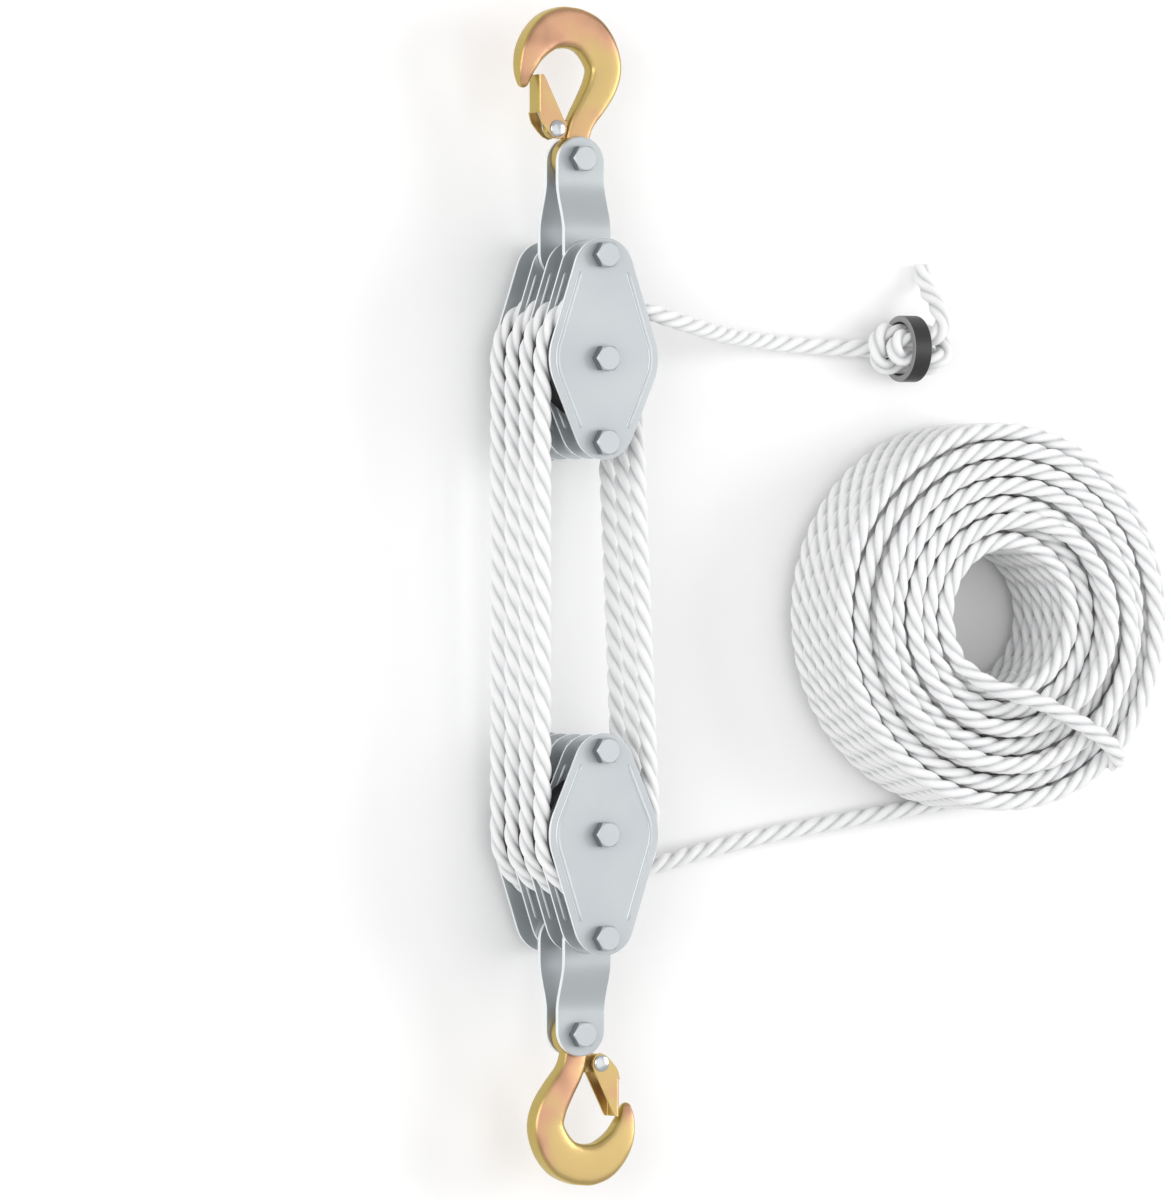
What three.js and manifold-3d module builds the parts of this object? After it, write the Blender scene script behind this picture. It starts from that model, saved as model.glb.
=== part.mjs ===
// Block and tackle: two four-sheave blocks reeved with laid rope for a 7:1 pull, lying flat.
// Millimetres, +Z up. The hooks point along +Y and -Y, and the hauling side is +X.
// The origin is on the floor under the middle of the two blocks.

import * as THREE from "three";
import { mergeVertices } from "three/addons/utils/BufferGeometryUtils.js";
import Module from "manifold-3d";

const wasm = await Module();
wasm.setup();

// Rope
const ropeDiameter = 10;
const ropeRadius = ropeDiameter / 2;
const ropeSides = 8;
const touchGap = 0.3;

// Stack of plates, from the floor up
const rearCheekBottom = 10;
const cheekThickness = 2;
const partitionThickness = 1.6;
const bayWidth = 15;
const bayCount = 4;
const bayPitch = bayWidth + partitionThickness;
const stackInner = bayCount * bayWidth + (bayCount - 1) * partitionThickness;
const stackBottom = rearCheekBottom + cheekThickness;
const stackTop = stackBottom + stackInner;
const middleHeight = stackBottom + stackInner / 2;

// Plate outline, measured from the axle
const axleToHeadBolt = 55.9;
const axleToTailBolt = 45.3;
const plateHalfWidth = 33.4;
const plateCornerRadius = 30;
const plateEndRadius = 18.5;
const plateEndReach = 9.5;
const partitionInset = 0.8;
const plateArcSteps = 5;

// Ribs pressed into the plates along their slanted edges
const ribInset = 4.9;
const ribEndInset = 4;
const ribWidth = 2.2;
const ribRise = 0.9;
const ribEndTaper = 0.3;

// Fasteners
const boltRadius = 4;
const boltSides = 12;
const headAcrossFlats = 13;
const headRise = 5.3;
const nutHeight = 7.6;
const nutCollarRadius = 5.4;
const nutCollarHeight = 2;
const holeGap = 0.35;
const sleeveOuterRadius = 5.6;
const sleeveWall = 1.2;

// Sheaves
const sheaveWidth = 14;
const ropeLineRadius = 33;
const rimOverRopeLine = 0.5;
const sheaveRadius = ropeLineRadius + rimOverRopeLine;
const grooveGap = 0.8;
const grooveLip = 1;
const grooveFootShare = 0.7;
const sheaveBoreRadius = boltRadius + touchGap;
const sheaveSegments = 24;

// Straps
const strapThickness = 3;
const strapWidth = 28.8;
const strapArcSteps = 6;
const strapEndInset = 2.4;
const strapEndShare = 0.2;
const strapBends = 6;
const headToHookBolt = 53;
const strapBendStart = 13;
const strapBendEnd = 41;

// Hook
const eyeThickness = 9.6;
const eyeRadius = 12.6;
const hookReach = 82.4;
const hookThickness = 12.4;
const rivetAcross = 13.5;
const rivetAlong = 16.1;
const rivetRadius = 2;
const rivetHeadRadius = 4.6;
const rivetHeadRise = 1.3;
const rivetCrownRadius = rivetHeadRadius * 0.6;
const rivetCrownRise = rivetHeadRise * 0.85;
const rivetRimRise = rivetHeadRise * 0.3;
const lugRadius = 5;
const lugThickness = 4.4;
const lugArcSteps = 8;

// Latch
const latchSheet = 1.2;
const latchInnerWidth = 10.4;
const latchEarRadius = 6;
const latchTipGap = 4.2;
const latchLengthShare = 0.34;

// Latch spring
const springWire = 0.7;
const springCoilRadius = 3.4;
const springTurns = 1.5;
const springGap = 0.45;
const springLegLength = 15;
const springRootLength = 3.75;

// Lie of the two blocks
const axleToMiddle = 128.5;

// Stop ring
const ringOuterRadius = 18.5;
const ringHoleRadius = 15;
const ringWidth = 11;
const ringPlace = new THREE.Vector2(225, 138);

// Coil
const coilPlace = new THREE.Vector2(262, -11);
const coilOuterRadius = 108;
const coilHoleRadius = 38;
const coilHeight = 79;
const coilPitch = 11;
const coilCornerRadius = 14;
const coilStartDegrees = -83;
const loopSteps = 20;
const loopSides = 6;

const zinc = { color: 0xc9d0d4, roughness: 0.38, metalness: 0.85 };
const brightZinc = { color: 0xd6dcdf, roughness: 0.2, metalness: 0.95 };
const goldZinc = { color: 0xc9a455, roughness: 0.32, metalness: 0.8 };
const ropeWhite = { color: 0xf0f1f1, roughness: 0.8, metalness: 0 };
const sheaveBlack = { color: 0x26282a, roughness: 0.5, metalness: 0.1 };
const ringGrey = { color: 0x3a3b3d, roughness: 0.6, metalness: 0 };

const tackle = new THREE.Group();
const ring2 = (radius, count, turn = 0) =>
  Array.from({ length: count }, (_, i) => {
    const angle = turn + (i / count) * Math.PI * 2;
    return new THREE.Vector2(radius * Math.cos(angle), radius * Math.sin(angle));
  });

function closedGeometry(geometry) {
  geometry.deleteAttribute("normal");
  geometry.deleteAttribute("uv");
  return mergeVertices(geometry, 1e-4);
}

function solid(geometry) {
  const merged = closedGeometry(geometry);
  return new wasm.Manifold(
    new wasm.Mesh({
      numProp: 3,
      vertProperties: new Float32Array(merged.attributes.position.array),
      triVerts: new Uint32Array(merged.index.array),
    }),
  );
}

function geometryOf(manifold) {
  const mesh = manifold.getMesh();
  const geometry = new THREE.BufferGeometry();
  geometry.setAttribute("position", new THREE.BufferAttribute(mesh.vertProperties, 3));
  geometry.setIndex(new THREE.BufferAttribute(mesh.triVerts, 1));
  return geometry;
}

// An outline drawn in XY, given thickness from z0 upwards.
function slab(points, z0, thickness, holes = []) {
  const shape = new THREE.Shape(points);
  for (const hole of holes) shape.holes.push(new THREE.Path(hole));
  const geometry = new THREE.ExtrudeGeometry(shape, { depth: thickness, bevelEnabled: false });
  return geometry.translate(0, 0, z0);
}

function circleHole(x, y, radius, sides = boltSides) {
  return ring2(radius, sides).map((p) => p.add(new THREE.Vector2(x, y)));
}

// A turned piece about Z, from a closed outline of [radius, z] points.
function turned(profile, segments) {
  const points = profile.map(([r, z]) => new THREE.Vector2(r, z));
  points.push(points[0].clone());
  return new THREE.LatheGeometry(points, segments).rotateX(Math.PI / 2);
}

// The outline round a loop of circles, each [x, y, radius], taken anticlockwise.
function hullOfCircles(circles, arcSteps) {
  const outline = [];
  const normals = circles.map(([x, y, r], i) => {
    const [x2, y2, r2] = circles[(i + 1) % circles.length];
    return Math.atan2(y2 - y, x2 - x) - Math.acos((r - r2) / Math.hypot(x2 - x, y2 - y));
  });
  circles.forEach(([x, y, r], i) => {
    const from = normals[(i + circles.length - 1) % circles.length];
    let to = normals[i];
    while (to < from) to += Math.PI * 2;
    for (let k = 0; k <= arcSteps; k++) {
      const angle = from + ((to - from) * k) / arcSteps;
      outline.push(new THREE.Vector2(x + r * Math.cos(angle), y + r * Math.sin(angle)));
    }
  });
  return outline;
}

// A closed solid through rings of equally many points, with flat fans at its ends.
function loft(rings) {
  const count = rings[0].length;
  const positions = rings.flat().flatMap((p) => [p.x, p.y, p.z]);
  const index = [];
  for (let i = 0; i + 1 < rings.length; i++) {
    for (let k = 0; k < count; k++) {
      const a = i * count + k;
      const b = i * count + ((k + 1) % count);
      index.push(a, b, b + count, a, b + count, a + count);
    }
  }
  const last = (rings.length - 1) * count;
  for (let k = 1; k + 1 < count; k++) {
    index.push(0, k + 1, k);
    index.push(last, last + k, last + k + 1);
  }
  const geometry = new THREE.BufferGeometry();
  geometry.setAttribute("position", new THREE.Float32BufferAttribute(positions, 3));
  geometry.setIndex(index);
  return geometry;
}

// A tube through points, whose rings stand square to it and carry no twist.
function tube(points, radius, sides) {
  const tangents = points.map((_, i) =>
    points[Math.min(i + 1, points.length - 1)]
      .clone()
      .sub(points[Math.max(i - 1, 0)])
      .normalize(),
  );
  const up = new THREE.Vector3(0, 0, 1);
  let across = up.clone().addScaledVector(tangents[0], -up.dot(tangents[0])).normalize();
  const rings = points.map((p, i) => {
    across = across.addScaledVector(tangents[i], -across.dot(tangents[i])).normalize().clone();
    const side = tangents[i].clone().cross(across);
    return ring2(radius, sides, Math.PI / sides).map((q) =>
      p.clone().addScaledVector(across, q.x).addScaledVector(side, q.y),
    );
  });
  return loft(rings);
}

function addMesh(parent, name, geometry, look) {
  const mesh = new THREE.Mesh(geometry, new THREE.MeshStandardMaterial(look));
  mesh.name = name;
  parent.add(mesh);
  return mesh;
}

// Plates: a rounded diamond, widest at the axle, with a rib pressed out along each slant.
function plateCircles(inset, corner = plateCornerRadius, end = plateEndRadius) {
  const sideX = plateHalfWidth - plateCornerRadius;
  const headY = axleToHeadBolt + plateEndReach - plateEndRadius;
  const tailY = plateEndRadius - axleToTailBolt - plateEndReach;
  return [
    [0, tailY, end - inset],
    [sideX, 0, corner - inset],
    [0, headY, end - inset],
    [-sideX, 0, corner - inset],
  ];
}

function ribs(faceZ, out) {
  const middle = plateCircles(ribInset);
  const lineSteps = 4;
  const outline = hullOfCircles(middle, lineSteps);
  const perArc = lineSteps + 1;
  const parts = [];
  for (const start of [1, 3]) {
    const before = outline[start * perArc - 1];
    const after = outline[((start + 1) * perArc) % outline.length];
    const arc = outline.slice(start * perArc, (start + 1) * perArc);
    const path = [before, ...arc, after];
    path[0] = before.clone().lerp(arc[0], ribEndInset / before.distanceTo(arc[0]));
    const lastArc = arc[arc.length - 1];
    path[path.length - 1] = after.clone().lerp(lastArc, ribEndInset / after.distanceTo(lastArc));
    const rings = path.map((p, i) => {
      const ahead = path[Math.min(i + 1, path.length - 1)];
      const behind = path[Math.max(i - 1, 0)];
      const way = ahead.clone().sub(behind).normalize();
      const side = new THREE.Vector2(way.y, -way.x);
      const taper = i === 0 || i === path.length - 1 ? ribEndTaper : 1;
      const corners = [
        [-ribWidth / 2, -ribRise / 2],
        [ribWidth / 2, -ribRise / 2],
        [ribWidth / 4, ribRise * taper],
        [-ribWidth / 4, ribRise * taper],
      ];
      const flat = corners.map(
        ([across, rise]) =>
          new THREE.Vector3(p.x + side.x * across, p.y + side.y * across, faceZ + out * rise),
      );
      return out > 0 ? flat.reverse() : flat;
    });
    parts.push(solid(loft(rings)));
  }
  return parts;
}

function plate(z0, thickness, inset, holeRadii, ribFace, ribOut) {
  const holes = [
    circleHole(0, 0, holeRadii.axle),
    circleHole(0, axleToHeadBolt, holeRadii.ends),
    circleHole(0, -axleToTailBolt, holeRadii.ends),
  ];
  const outline = hullOfCircles(plateCircles(inset), plateArcSteps);
  let body = solid(slab(outline, z0, thickness, holes));
  for (const rib of ribs(ribFace, ribOut)) body = body.add(rib);
  return geometryOf(body);
}

// Fasteners: hex head above, shank down to the floor, lock nut with a round collar.
function bolt(headSeat, shankEnd) {
  const head = slab(
    ring2(headAcrossFlats / Math.sqrt(3), 6, 0),
    headSeat,
    headRise,
  );
  const overlap = headRise / 2;
  const shank = slab(ring2(boltRadius, boltSides), shankEnd, headSeat + overlap - shankEnd);
  return geometryOf(solid(head).add(solid(shank)));
}

function lockNut(bottom) {
  const bore = circleHole(0, 0, boltRadius + holeGap);
  const hexHeight = nutHeight - nutCollarHeight;
  const hex = slab(
    ring2(headAcrossFlats / Math.sqrt(3), 6, 0),
    bottom + nutCollarHeight,
    hexHeight,
    [bore],
  );
  const collar = slab(
    ring2(nutCollarRadius, boltSides),
    bottom,
    nutCollarHeight + hexHeight / 2,
    [bore],
  );
  return geometryOf(solid(hex).add(solid(collar)));
}

function sleeve(bottom, top) {
  const wallInner = sleeveOuterRadius - sleeveWall;
  return slab(ring2(sleeveOuterRadius, boltSides), bottom, top - bottom, [
    circleHole(0, 0, wallInner),
  ]);
}

// Sheave: two lips round a rope groove, on a bore that turns on the axle bolt.
function sheave() {
  const half = sheaveWidth / 2;
  const bottom = ropeLineRadius - ropeRadius - grooveGap;
  const side = [
    [sheaveBoreRadius, half],
    [sheaveRadius, half],
    [sheaveRadius, half - grooveLip],
    [bottom, ropeRadius * grooveFootShare],
  ];
  const mirrored = side
    .slice()
    .reverse()
    .map(([r, z]) => [r, -z]);
  return turned([...side, ...mirrored].reverse(), sheaveSegments);
}

// Strap: flat in the block, bent inwards, then flat against the hook's eye.
// blockZ and eyeZ are the heights of its lower face at its two ends.
function strap(blockZ, eyeZ) {
  const half = strapWidth / 2;
  const total = headToHookBolt;
  const stations = [];
  for (let i = 0; i <= strapArcSteps; i++) {
    const angle = -Math.PI / 2 + (i / strapArcSteps) * (Math.PI / 2);
    const along = strapEndInset + half * Math.sin(angle);
    stations.push([along, Math.max(half * Math.cos(angle), half * strapEndShare)]);
  }
  for (let i = 0; i <= strapBends; i++) {
    stations.push([strapBendStart + ((strapBendEnd - strapBendStart) * i) / strapBends, half]);
  }
  for (let i = 0; i <= strapArcSteps; i++) {
    const angle = (i / strapArcSteps) * (Math.PI / 2);
    const along = total - strapEndInset + half * Math.sin(angle);
    stations.push([along, Math.max(half * Math.cos(angle), half * strapEndShare)]);
  }
  const zAt = (along) => {
    const share = THREE.MathUtils.smoothstep(along, strapBendStart, strapBendEnd);
    return blockZ + (eyeZ - blockZ) * share;
  };
  const rings = stations.map(([along, w]) => {
    const z = zAt(along);
    return [
      new THREE.Vector3(-w, along, z),
      new THREE.Vector3(w, along, z),
      new THREE.Vector3(w, along, z + strapThickness),
      new THREE.Vector3(-w, along, z + strapThickness),
    ].reverse();
  });
  let body = solid(loft(rings));
  const drill = (y, radius, z) =>
    solid(slab(circleHole(0, y, radius), z - strapThickness, strapThickness * 3));
  body = body.subtract(drill(0, sleeveOuterRadius + holeGap, blockZ));
  body = body.subtract(drill(total, boltRadius + holeGap, eyeZ));
  return geometryOf(body);
}

// Hook: rings along its line, from the eye round the bowl to the tip.
// Each row: across and along as shares of the reach, then depth and thickness as shares
// of the bowl's depth and of the hook's thickness.
const bowlDepth = 17.4;
const hookLineShares = [
  [0.0, 0.08, 0.86, 0.66],
  [-0.012, 0.17, 0.84, 0.76],
  [-0.048, 0.262, 0.84, 0.86],
  [-0.122, 0.375, 0.94, 0.96],
  [-0.186, 0.49, 1.04, 1.0],
  [-0.212, 0.605, 1.1, 1.0],
  [-0.172, 0.722, 1.2, 1.0],
  [-0.098, 0.812, 1.26, 1.0],
  [-0.01, 0.854, 1.27, 1.0],
  [0.052, 0.864, 1.27, 1.0],
  [0.11, 0.864, 1.27, 1.0],
  [0.194, 0.838, 1.2, 1.0],
  [0.272, 0.776, 1.06, 0.98],
  [0.33, 0.7, 0.88, 0.94],
  [0.363, 0.62, 0.69, 0.84],
  [0.38, 0.55, 0.5, 0.66],
  [0.384, 0.485, 0.3, 0.4],
];
// Section as shares of half the depth (inwards positive) and of half the thickness.
const hookSectionShares = [
  [1, 0.46],
  [0.82, 0.84],
  [0.42, 0.98],
  [-0.62, 1],
  [-0.9, 0.86],
  [-1, 0.56],
  [-1, -0.56],
  [-0.9, -0.86],
  [-0.62, -1],
  [0.42, -0.98],
  [0.82, -0.84],
  [1, -0.46],
];

// The two rows whose inner faces lie in one plane: the seat of the bowl.
const bowlSeatRows = [9, 10];

function hookBar() {
  const line = hookLineShares.map(([u, v]) => new THREE.Vector2(u, v).multiplyScalar(hookReach));
  const rings = line.map((p, i) => {
    const ahead = line[Math.min(i + 1, line.length - 1)];
    const behind = line[Math.max(i - 1, 0)];
    const way = ahead.clone().sub(behind).normalize();
    if (bowlSeatRows.includes(i)) way.set(1, 0);
    const inward = new THREE.Vector2(way.y, -way.x);
    const [, , depthShare, thicknessShare] = hookLineShares[i];
    const halfDepth = (depthShare * bowlDepth) / 2;
    const halfThickness = (thicknessShare * hookThickness) / 2;
    return hookSectionShares
      .map(([d, t]) => {
        const at = p.clone().addScaledVector(inward, d * halfDepth);
        return new THREE.Vector3(at.x, at.y, t * halfThickness);
      })
      .reverse();
  });
  return solid(loft(rings));
}

// The hook in its own frame: bolt at the origin, +Y away from the block, +X to its opening.
function hook() {
  const eye = slab(ring2(eyeRadius, sheaveSegments), -eyeThickness / 2, eyeThickness);
  const lugOutline = hullOfCircles(
    [
      [0, rivetAlong, lugRadius],
      [rivetAcross, rivetAlong, lugRadius],
    ],
    lugArcSteps,
  );
  const lug = slab(lugOutline, -lugThickness / 2, lugThickness);
  const through = eyeThickness * 2;
  const boltHole = slab(circleHole(0, 0, boltRadius + holeGap), -through / 2, through);
  const rivetHole = slab(
    circleHole(rivetAcross, rivetAlong, rivetRadius + holeGap),
    -through / 2,
    through,
  );
  return geometryOf(
    hookBar().add(solid(eye)).add(solid(lug)).subtract(solid(boltHole)).subtract(solid(rivetHole)),
  );
}

// Latch: two ears on the rivet, joined by a web along the side away from the hook's back.
// It reaches to just inside the hook's tip. Its outline is drawn about the rivet: across as
// shares of its spread, along as shares of its length, and behind the rivet of the ear's radius.
const hookTip = hookLineShares[hookLineShares.length - 1];
const hookTipInside = hookTip[0] * hookReach - (hookTip[2] * bowlDepth) / 2;
const latchSpread = hookTipInside - latchTipGap - rivetAcross;
const latchLength = hookReach * latchLengthShare;
const latchOuterWidth = latchInnerWidth + 2 * latchSheet;
const latchWebInside = rivetAcross + latchSpread - latchSheet;
const latchWebStartShare = 0.305;
const latchOutlineShares = [
  [0.127, -0.9],
  [0.472, -0.35],
  [0.898, 0.13],
  [0.98, 0.284],
  [1, 1],
  [0.93, 1.057],
  [0.78, 1.042],
  [0.7, 1.01],
  [-0.72, 0.143],
  [-0.98, 0.021],
  [-0.72, -0.65],
  [-0.25, -0.95],
];

function latch() {
  const outline = latchOutlineShares.map(
    ([x, y]) =>
      new THREE.Vector2(
        rivetAcross + x * (x > 0 ? latchSpread : latchEarRadius),
        rivetAlong + y * (y > 0 ? latchLength : latchEarRadius),
      ),
  );
  const whole = solid(slab(outline, -latchOuterWidth / 2, latchOuterWidth));
  const webStart = rivetAlong + latchWebStartShare * latchLength;
  const past = hookReach;
  const channel = (low, high, left, right) =>
    solid(
      slab(
        [
          new THREE.Vector2(left, low),
          new THREE.Vector2(right, low),
          new THREE.Vector2(right, high),
          new THREE.Vector2(left, high),
        ],
        -latchInnerWidth / 2,
        latchInnerWidth,
      ),
    );
  const inside = channel(-past, past, -past, latchWebInside);
  const window = channel(-past, webStart, -past, past);
  const bore = slab(
    circleHole(rivetAcross, rivetAlong, rivetRadius + holeGap),
    -latchOuterWidth,
    latchOuterWidth * 2,
  );
  return geometryOf(whole.subtract(inside).subtract(window).subtract(solid(bore)));
}

function latchRivet() {
  const half = latchOuterWidth / 2 + touchGap;
  const profile = [
    [0, half + rivetHeadRise],
    [rivetCrownRadius, half + rivetCrownRise],
    [rivetHeadRadius, half + rivetRimRise],
    [rivetHeadRadius, half],
    [rivetRadius, half],
    [rivetRadius, -half],
    [rivetHeadRadius, -half],
    [rivetHeadRadius, -half - rivetRimRise],
    [rivetCrownRadius, -half - rivetCrownRise],
    [0, -half - rivetHeadRise],
  ].reverse();
  return turned(profile, boltSides).translate(rivetAcross, rivetAlong, 0);
}

// Torsion spring round the rivet, beside the lug, with one leg that leans to the latch's web.
function latchSpring() {
  const curlSteps = 8;
  const wireSides = 5;
  const pitch = springWire + springGap;
  const low = lugThickness / 2 + touchGap + springWire / 2;
  const points = [];
  const steps = curlSteps * springTurns;
  for (let i = 0; i <= steps; i++) {
    const angle = (i / curlSteps - springTurns) * Math.PI * 2;
    points.push(
      new THREE.Vector3(
        rivetAcross + springCoilRadius * Math.cos(angle),
        rivetAlong + springCoilRadius * Math.sin(angle),
        low + (pitch * i) / curlSteps,
      ),
    );
  }
  const top = points[points.length - 1];
  const legEnd = latchWebInside - springGap - springWire / 2;
  points.push(new THREE.Vector3(top.x + springWire, top.y + springRootLength, top.z));
  points.push(new THREE.Vector3(legEnd, top.y + springLegLength, top.z));
  return tube(points, springWire / 2, wireSides);
}

// One block, with its axle on the origin and its hook end at +Y.
function block(prefix, turn, middleY) {
  const group = new THREE.Group();
  group.position.y = middleY;
  group.rotation.z = turn;
  tackle.add(group);
  const add = (name, geometry, look) => addMesh(group, `${prefix}_${name}`, geometry, look);
  const holes = { axle: boltRadius + holeGap, ends: boltRadius + holeGap };
  const partHoles = { axle: boltRadius + holeGap, ends: sleeveOuterRadius + holeGap };
  const frontFace = stackTop + cheekThickness;
  add("front_cheek", plate(stackTop, cheekThickness, 0, holes, frontFace, 1), zinc);
  add("rear_cheek", plate(rearCheekBottom, cheekThickness, 0, holes, rearCheekBottom, -1), zinc);
  for (let i = 1; i < bayCount; i++) {
    const bottom = stackTop - i * bayPitch;
    const outline = hullOfCircles(plateCircles(partitionInset), plateArcSteps);
    const cuts = [
      circleHole(0, 0, partHoles.axle),
      circleHole(0, axleToHeadBolt, partHoles.ends),
      circleHole(0, -axleToTailBolt, partHoles.ends),
    ];
    add(`partition_${i}`, slab(outline, bottom, partitionThickness, cuts), zinc);
  }
  for (let i = 0; i < bayCount; i++) {
    add(`sheave_${i + 1}`, sheave().translate(0, 0, bayMiddle(i)), sheaveBlack);
  }
  const nutBottom = rearCheekBottom - touchGap - nutHeight;
  for (const [name, y] of [
    ["axle", 0],
    ["head", axleToHeadBolt],
    ["tail", -axleToTailBolt],
  ]) {
    const headSeat = frontFace + touchGap;
    add(`${name}_bolt`, bolt(headSeat, 0).translate(0, y, 0), zinc);
    add(`${name}_nut`, lockNut(nutBottom).translate(0, y, 0), brightZinc);
  }
  const sleeveBottom = stackBottom + touchGap;
  const sleeveTop = stackTop - touchGap;
  for (const [name, y] of [
    ["head_sleeve", axleToHeadBolt],
    ["tail_sleeve", -axleToTailBolt],
  ]) {
    add(name, sleeve(sleeveBottom, sleeveTop).translate(0, y, 0), brightZinc);
  }

  const eyeGap = eyeThickness / 2 + touchGap;
  const frontAtBlock = stackTop - bayPitch - touchGap - strapThickness;
  const rearAtBlock = stackBottom + bayPitch + touchGap;
  const frontAtEye = middleHeight + eyeGap;
  const rearAtEye = middleHeight - eyeGap - strapThickness;
  const strapAt = (atBlock, atEye) => strap(atBlock, atEye).translate(0, axleToHeadBolt, 0);
  add("front_strap", strapAt(frontAtBlock, frontAtEye), zinc);
  add("rear_strap", strapAt(rearAtBlock, rearAtEye), zinc);
  const hookBoltY = axleToHeadBolt + headToHookBolt;
  const hookNutBottom = rearAtEye - touchGap - nutHeight;
  const hookBoltEnd = hookNutBottom - nutCollarHeight;
  const hookHeadSeat = frontAtEye + strapThickness + touchGap;
  add("hook_bolt", bolt(hookHeadSeat, hookBoltEnd).translate(0, hookBoltY, 0), zinc);
  add("hook_nut", lockNut(hookNutBottom).translate(0, hookBoltY, 0), brightZinc);

  const hookPlace = (geometry) =>
    geometry.rotateY(Math.PI).translate(0, hookBoltY, middleHeight);
  add("hook", hookPlace(hook()), goldZinc);
  add("latch", hookPlace(latch()), goldZinc);
  add("latch_rivet", hookPlace(latchRivet()), brightZinc);
  add("latch_spring", hookPlace(latchSpring()), brightZinc);
}

function bayMiddle(i) {
  return stackTop - bayWidth / 2 - i * bayPitch;
}

block("upper", 0, axleToMiddle);
block("lower", Math.PI, -axleToMiddle);

// Reeving: from the tail over upper sheave 1, down the left side, round lower sheave 1,
// up the right side to upper sheave 2, and so on to lower sheave 4 and the hauling line.
const tailLeaveAngle = THREE.MathUtils.degToRad(76);
const haulLeaveAngle = THREE.MathUtils.degToRad(282.25);
const wrapSteps = 10;
const slantStart = 25;
const ropeEndRun = 0.6;

function wrapPoints(centreY, z, from, to) {
  const count = Math.round((wrapSteps * (to - from)) / Math.PI);
  return Array.from({ length: count + 1 }, (_, i) => {
    const angle = from + ((to - from) * i) / count;
    return new THREE.Vector3(
      ropeLineRadius * Math.cos(angle),
      centreY + ropeLineRadius * Math.sin(angle),
      z,
    );
  });
}

function reevedPoints() {
  const points = [];
  for (let i = 0; i < bayCount; i++) {
    const z = bayMiddle(i);
    const last = i === bayCount - 1;
    points.push(...wrapPoints(axleToMiddle, z, i === 0 ? tailLeaveAngle : 0, Math.PI));
    points.push(new THREE.Vector3(-ropeLineRadius, 0, z));
    const end = last ? haulLeaveAngle : Math.PI * 2;
    points.push(...wrapPoints(-axleToMiddle, z, Math.PI, end));
    if (last) continue;
    const straight = axleToMiddle - slantStart;
    points.push(new THREE.Vector3(ropeLineRadius, -straight, z));
    points.push(new THREE.Vector3(ropeLineRadius, straight, bayMiddle(i + 1)));
  }
  const start = points[0];
  const end = points[points.length - 1];
  const tailWay = [Math.sin(tailLeaveAngle), -Math.cos(tailLeaveAngle)];
  const haulWay = [-Math.sin(haulLeaveAngle), Math.cos(haulLeaveAngle)];
  points.unshift(start.clone().add(new THREE.Vector3(...tailWay, 0).multiplyScalar(ropeEndRun)));
  points.push(end.clone().add(new THREE.Vector3(...haulWay, 0).multiplyScalar(ropeEndRun)));
  return points;
}

addMesh(tackle, "reeved_rope", tube(reevedPoints(), ropeRadius, ropeSides), ropeWhite);

function smoothRoute(list, steps) {
  const curve = new THREE.CatmullRomCurve3(list.map(([x, y, z]) => new THREE.Vector3(x, y, z)));
  return curve.getSpacedPoints(steps);
}

// Tail: off upper sheave 1, down to the floor, five times through the stop ring, with two bights
// on its near face and two behind it, and out over the floor again.
const tailRoute = [
  [8.95, 160.28, 69.3],
  [22, 157.1, 69.3],
  [36, 153.8, 68.4],
  [51.5, 150.4, 64.2],
  [70.9, 147, 54.6],
  [90.4, 144.3, 42],
  [109.8, 142.6, 29.5],
  [129.2, 141.3, 18.6],
  [148.6, 140.2, 10.4],
  [168, 139.3, 6.3],
  [185.5, 138.7, 5.4],
  [201, 138.3, 6.4],
  [213, 138.1, 8.2],
  [225, 138, 9.1],
  [232, 138.3, 8.9],
  [238.4, 138.8, 8.5],
  [243.4, 137.2, 9.7],
  [245.4, 133.4, 12.4],
  [243.4, 129.6, 15],
  [238.2, 128.1, 16.1],
  [231, 129, 15.8],
  [225, 129.3, 15.6],
  [217.5, 128.6, 16],
  [210.8, 128.4, 17.8],
  [206.2, 131.8, 18.9],
  [204.8, 138, 19.5],
  [206.2, 144.2, 18.9],
  [210.8, 147.6, 17.8],
  [217.5, 147.4, 16],
  [225, 146.9, 15.6],
  [232, 147.1, 15.2],
  [239.4, 148, 15.8],
  [245, 145, 18.2],
  [246.8, 139, 22.2],
  [244.2, 133.6, 25.8],
  [238, 131.9, 26.9],
  [231, 132.4, 26.2],
  [225, 132.5, 26],
  [218, 132, 26.3],
  [213.3, 133.6, 27.4],
  [211.3, 138, 28.3],
  [213.3, 142.4, 27.4],
  [218, 144, 26.3],
  [225, 143.5, 26],
  [232.4, 143.6, 26.4],
  [238.4, 145.4, 28.4],
  [241.6, 150.6, 29],
  [242, 158, 26],
  [242, 165.4, 18.8],
  [242.2, 172.2, 10.8],
  [242.4, 178.6, 6.3],
  [242.4, 185.6, 5.4],
];
const tailSteps = 80;
const tailLine = tube(smoothRoute(tailRoute, tailSteps), ropeRadius, ropeSides);
addMesh(tackle, "tail_rope", tailLine, ropeWhite);

const stopRing = turned(
  [
    [ringHoleRadius, -ringWidth / 2],
    [ringOuterRadius, -ringWidth / 2],
    [ringOuterRadius, ringWidth / 2],
    [ringHoleRadius, ringWidth / 2],
  ],
  sheaveSegments,
);
stopRing.rotateY(Math.PI / 2).translate(ringPlace.x, ringPlace.y, ringOuterRadius);
addMesh(tackle, "stop_ring", stopRing, ringGrey);

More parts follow.
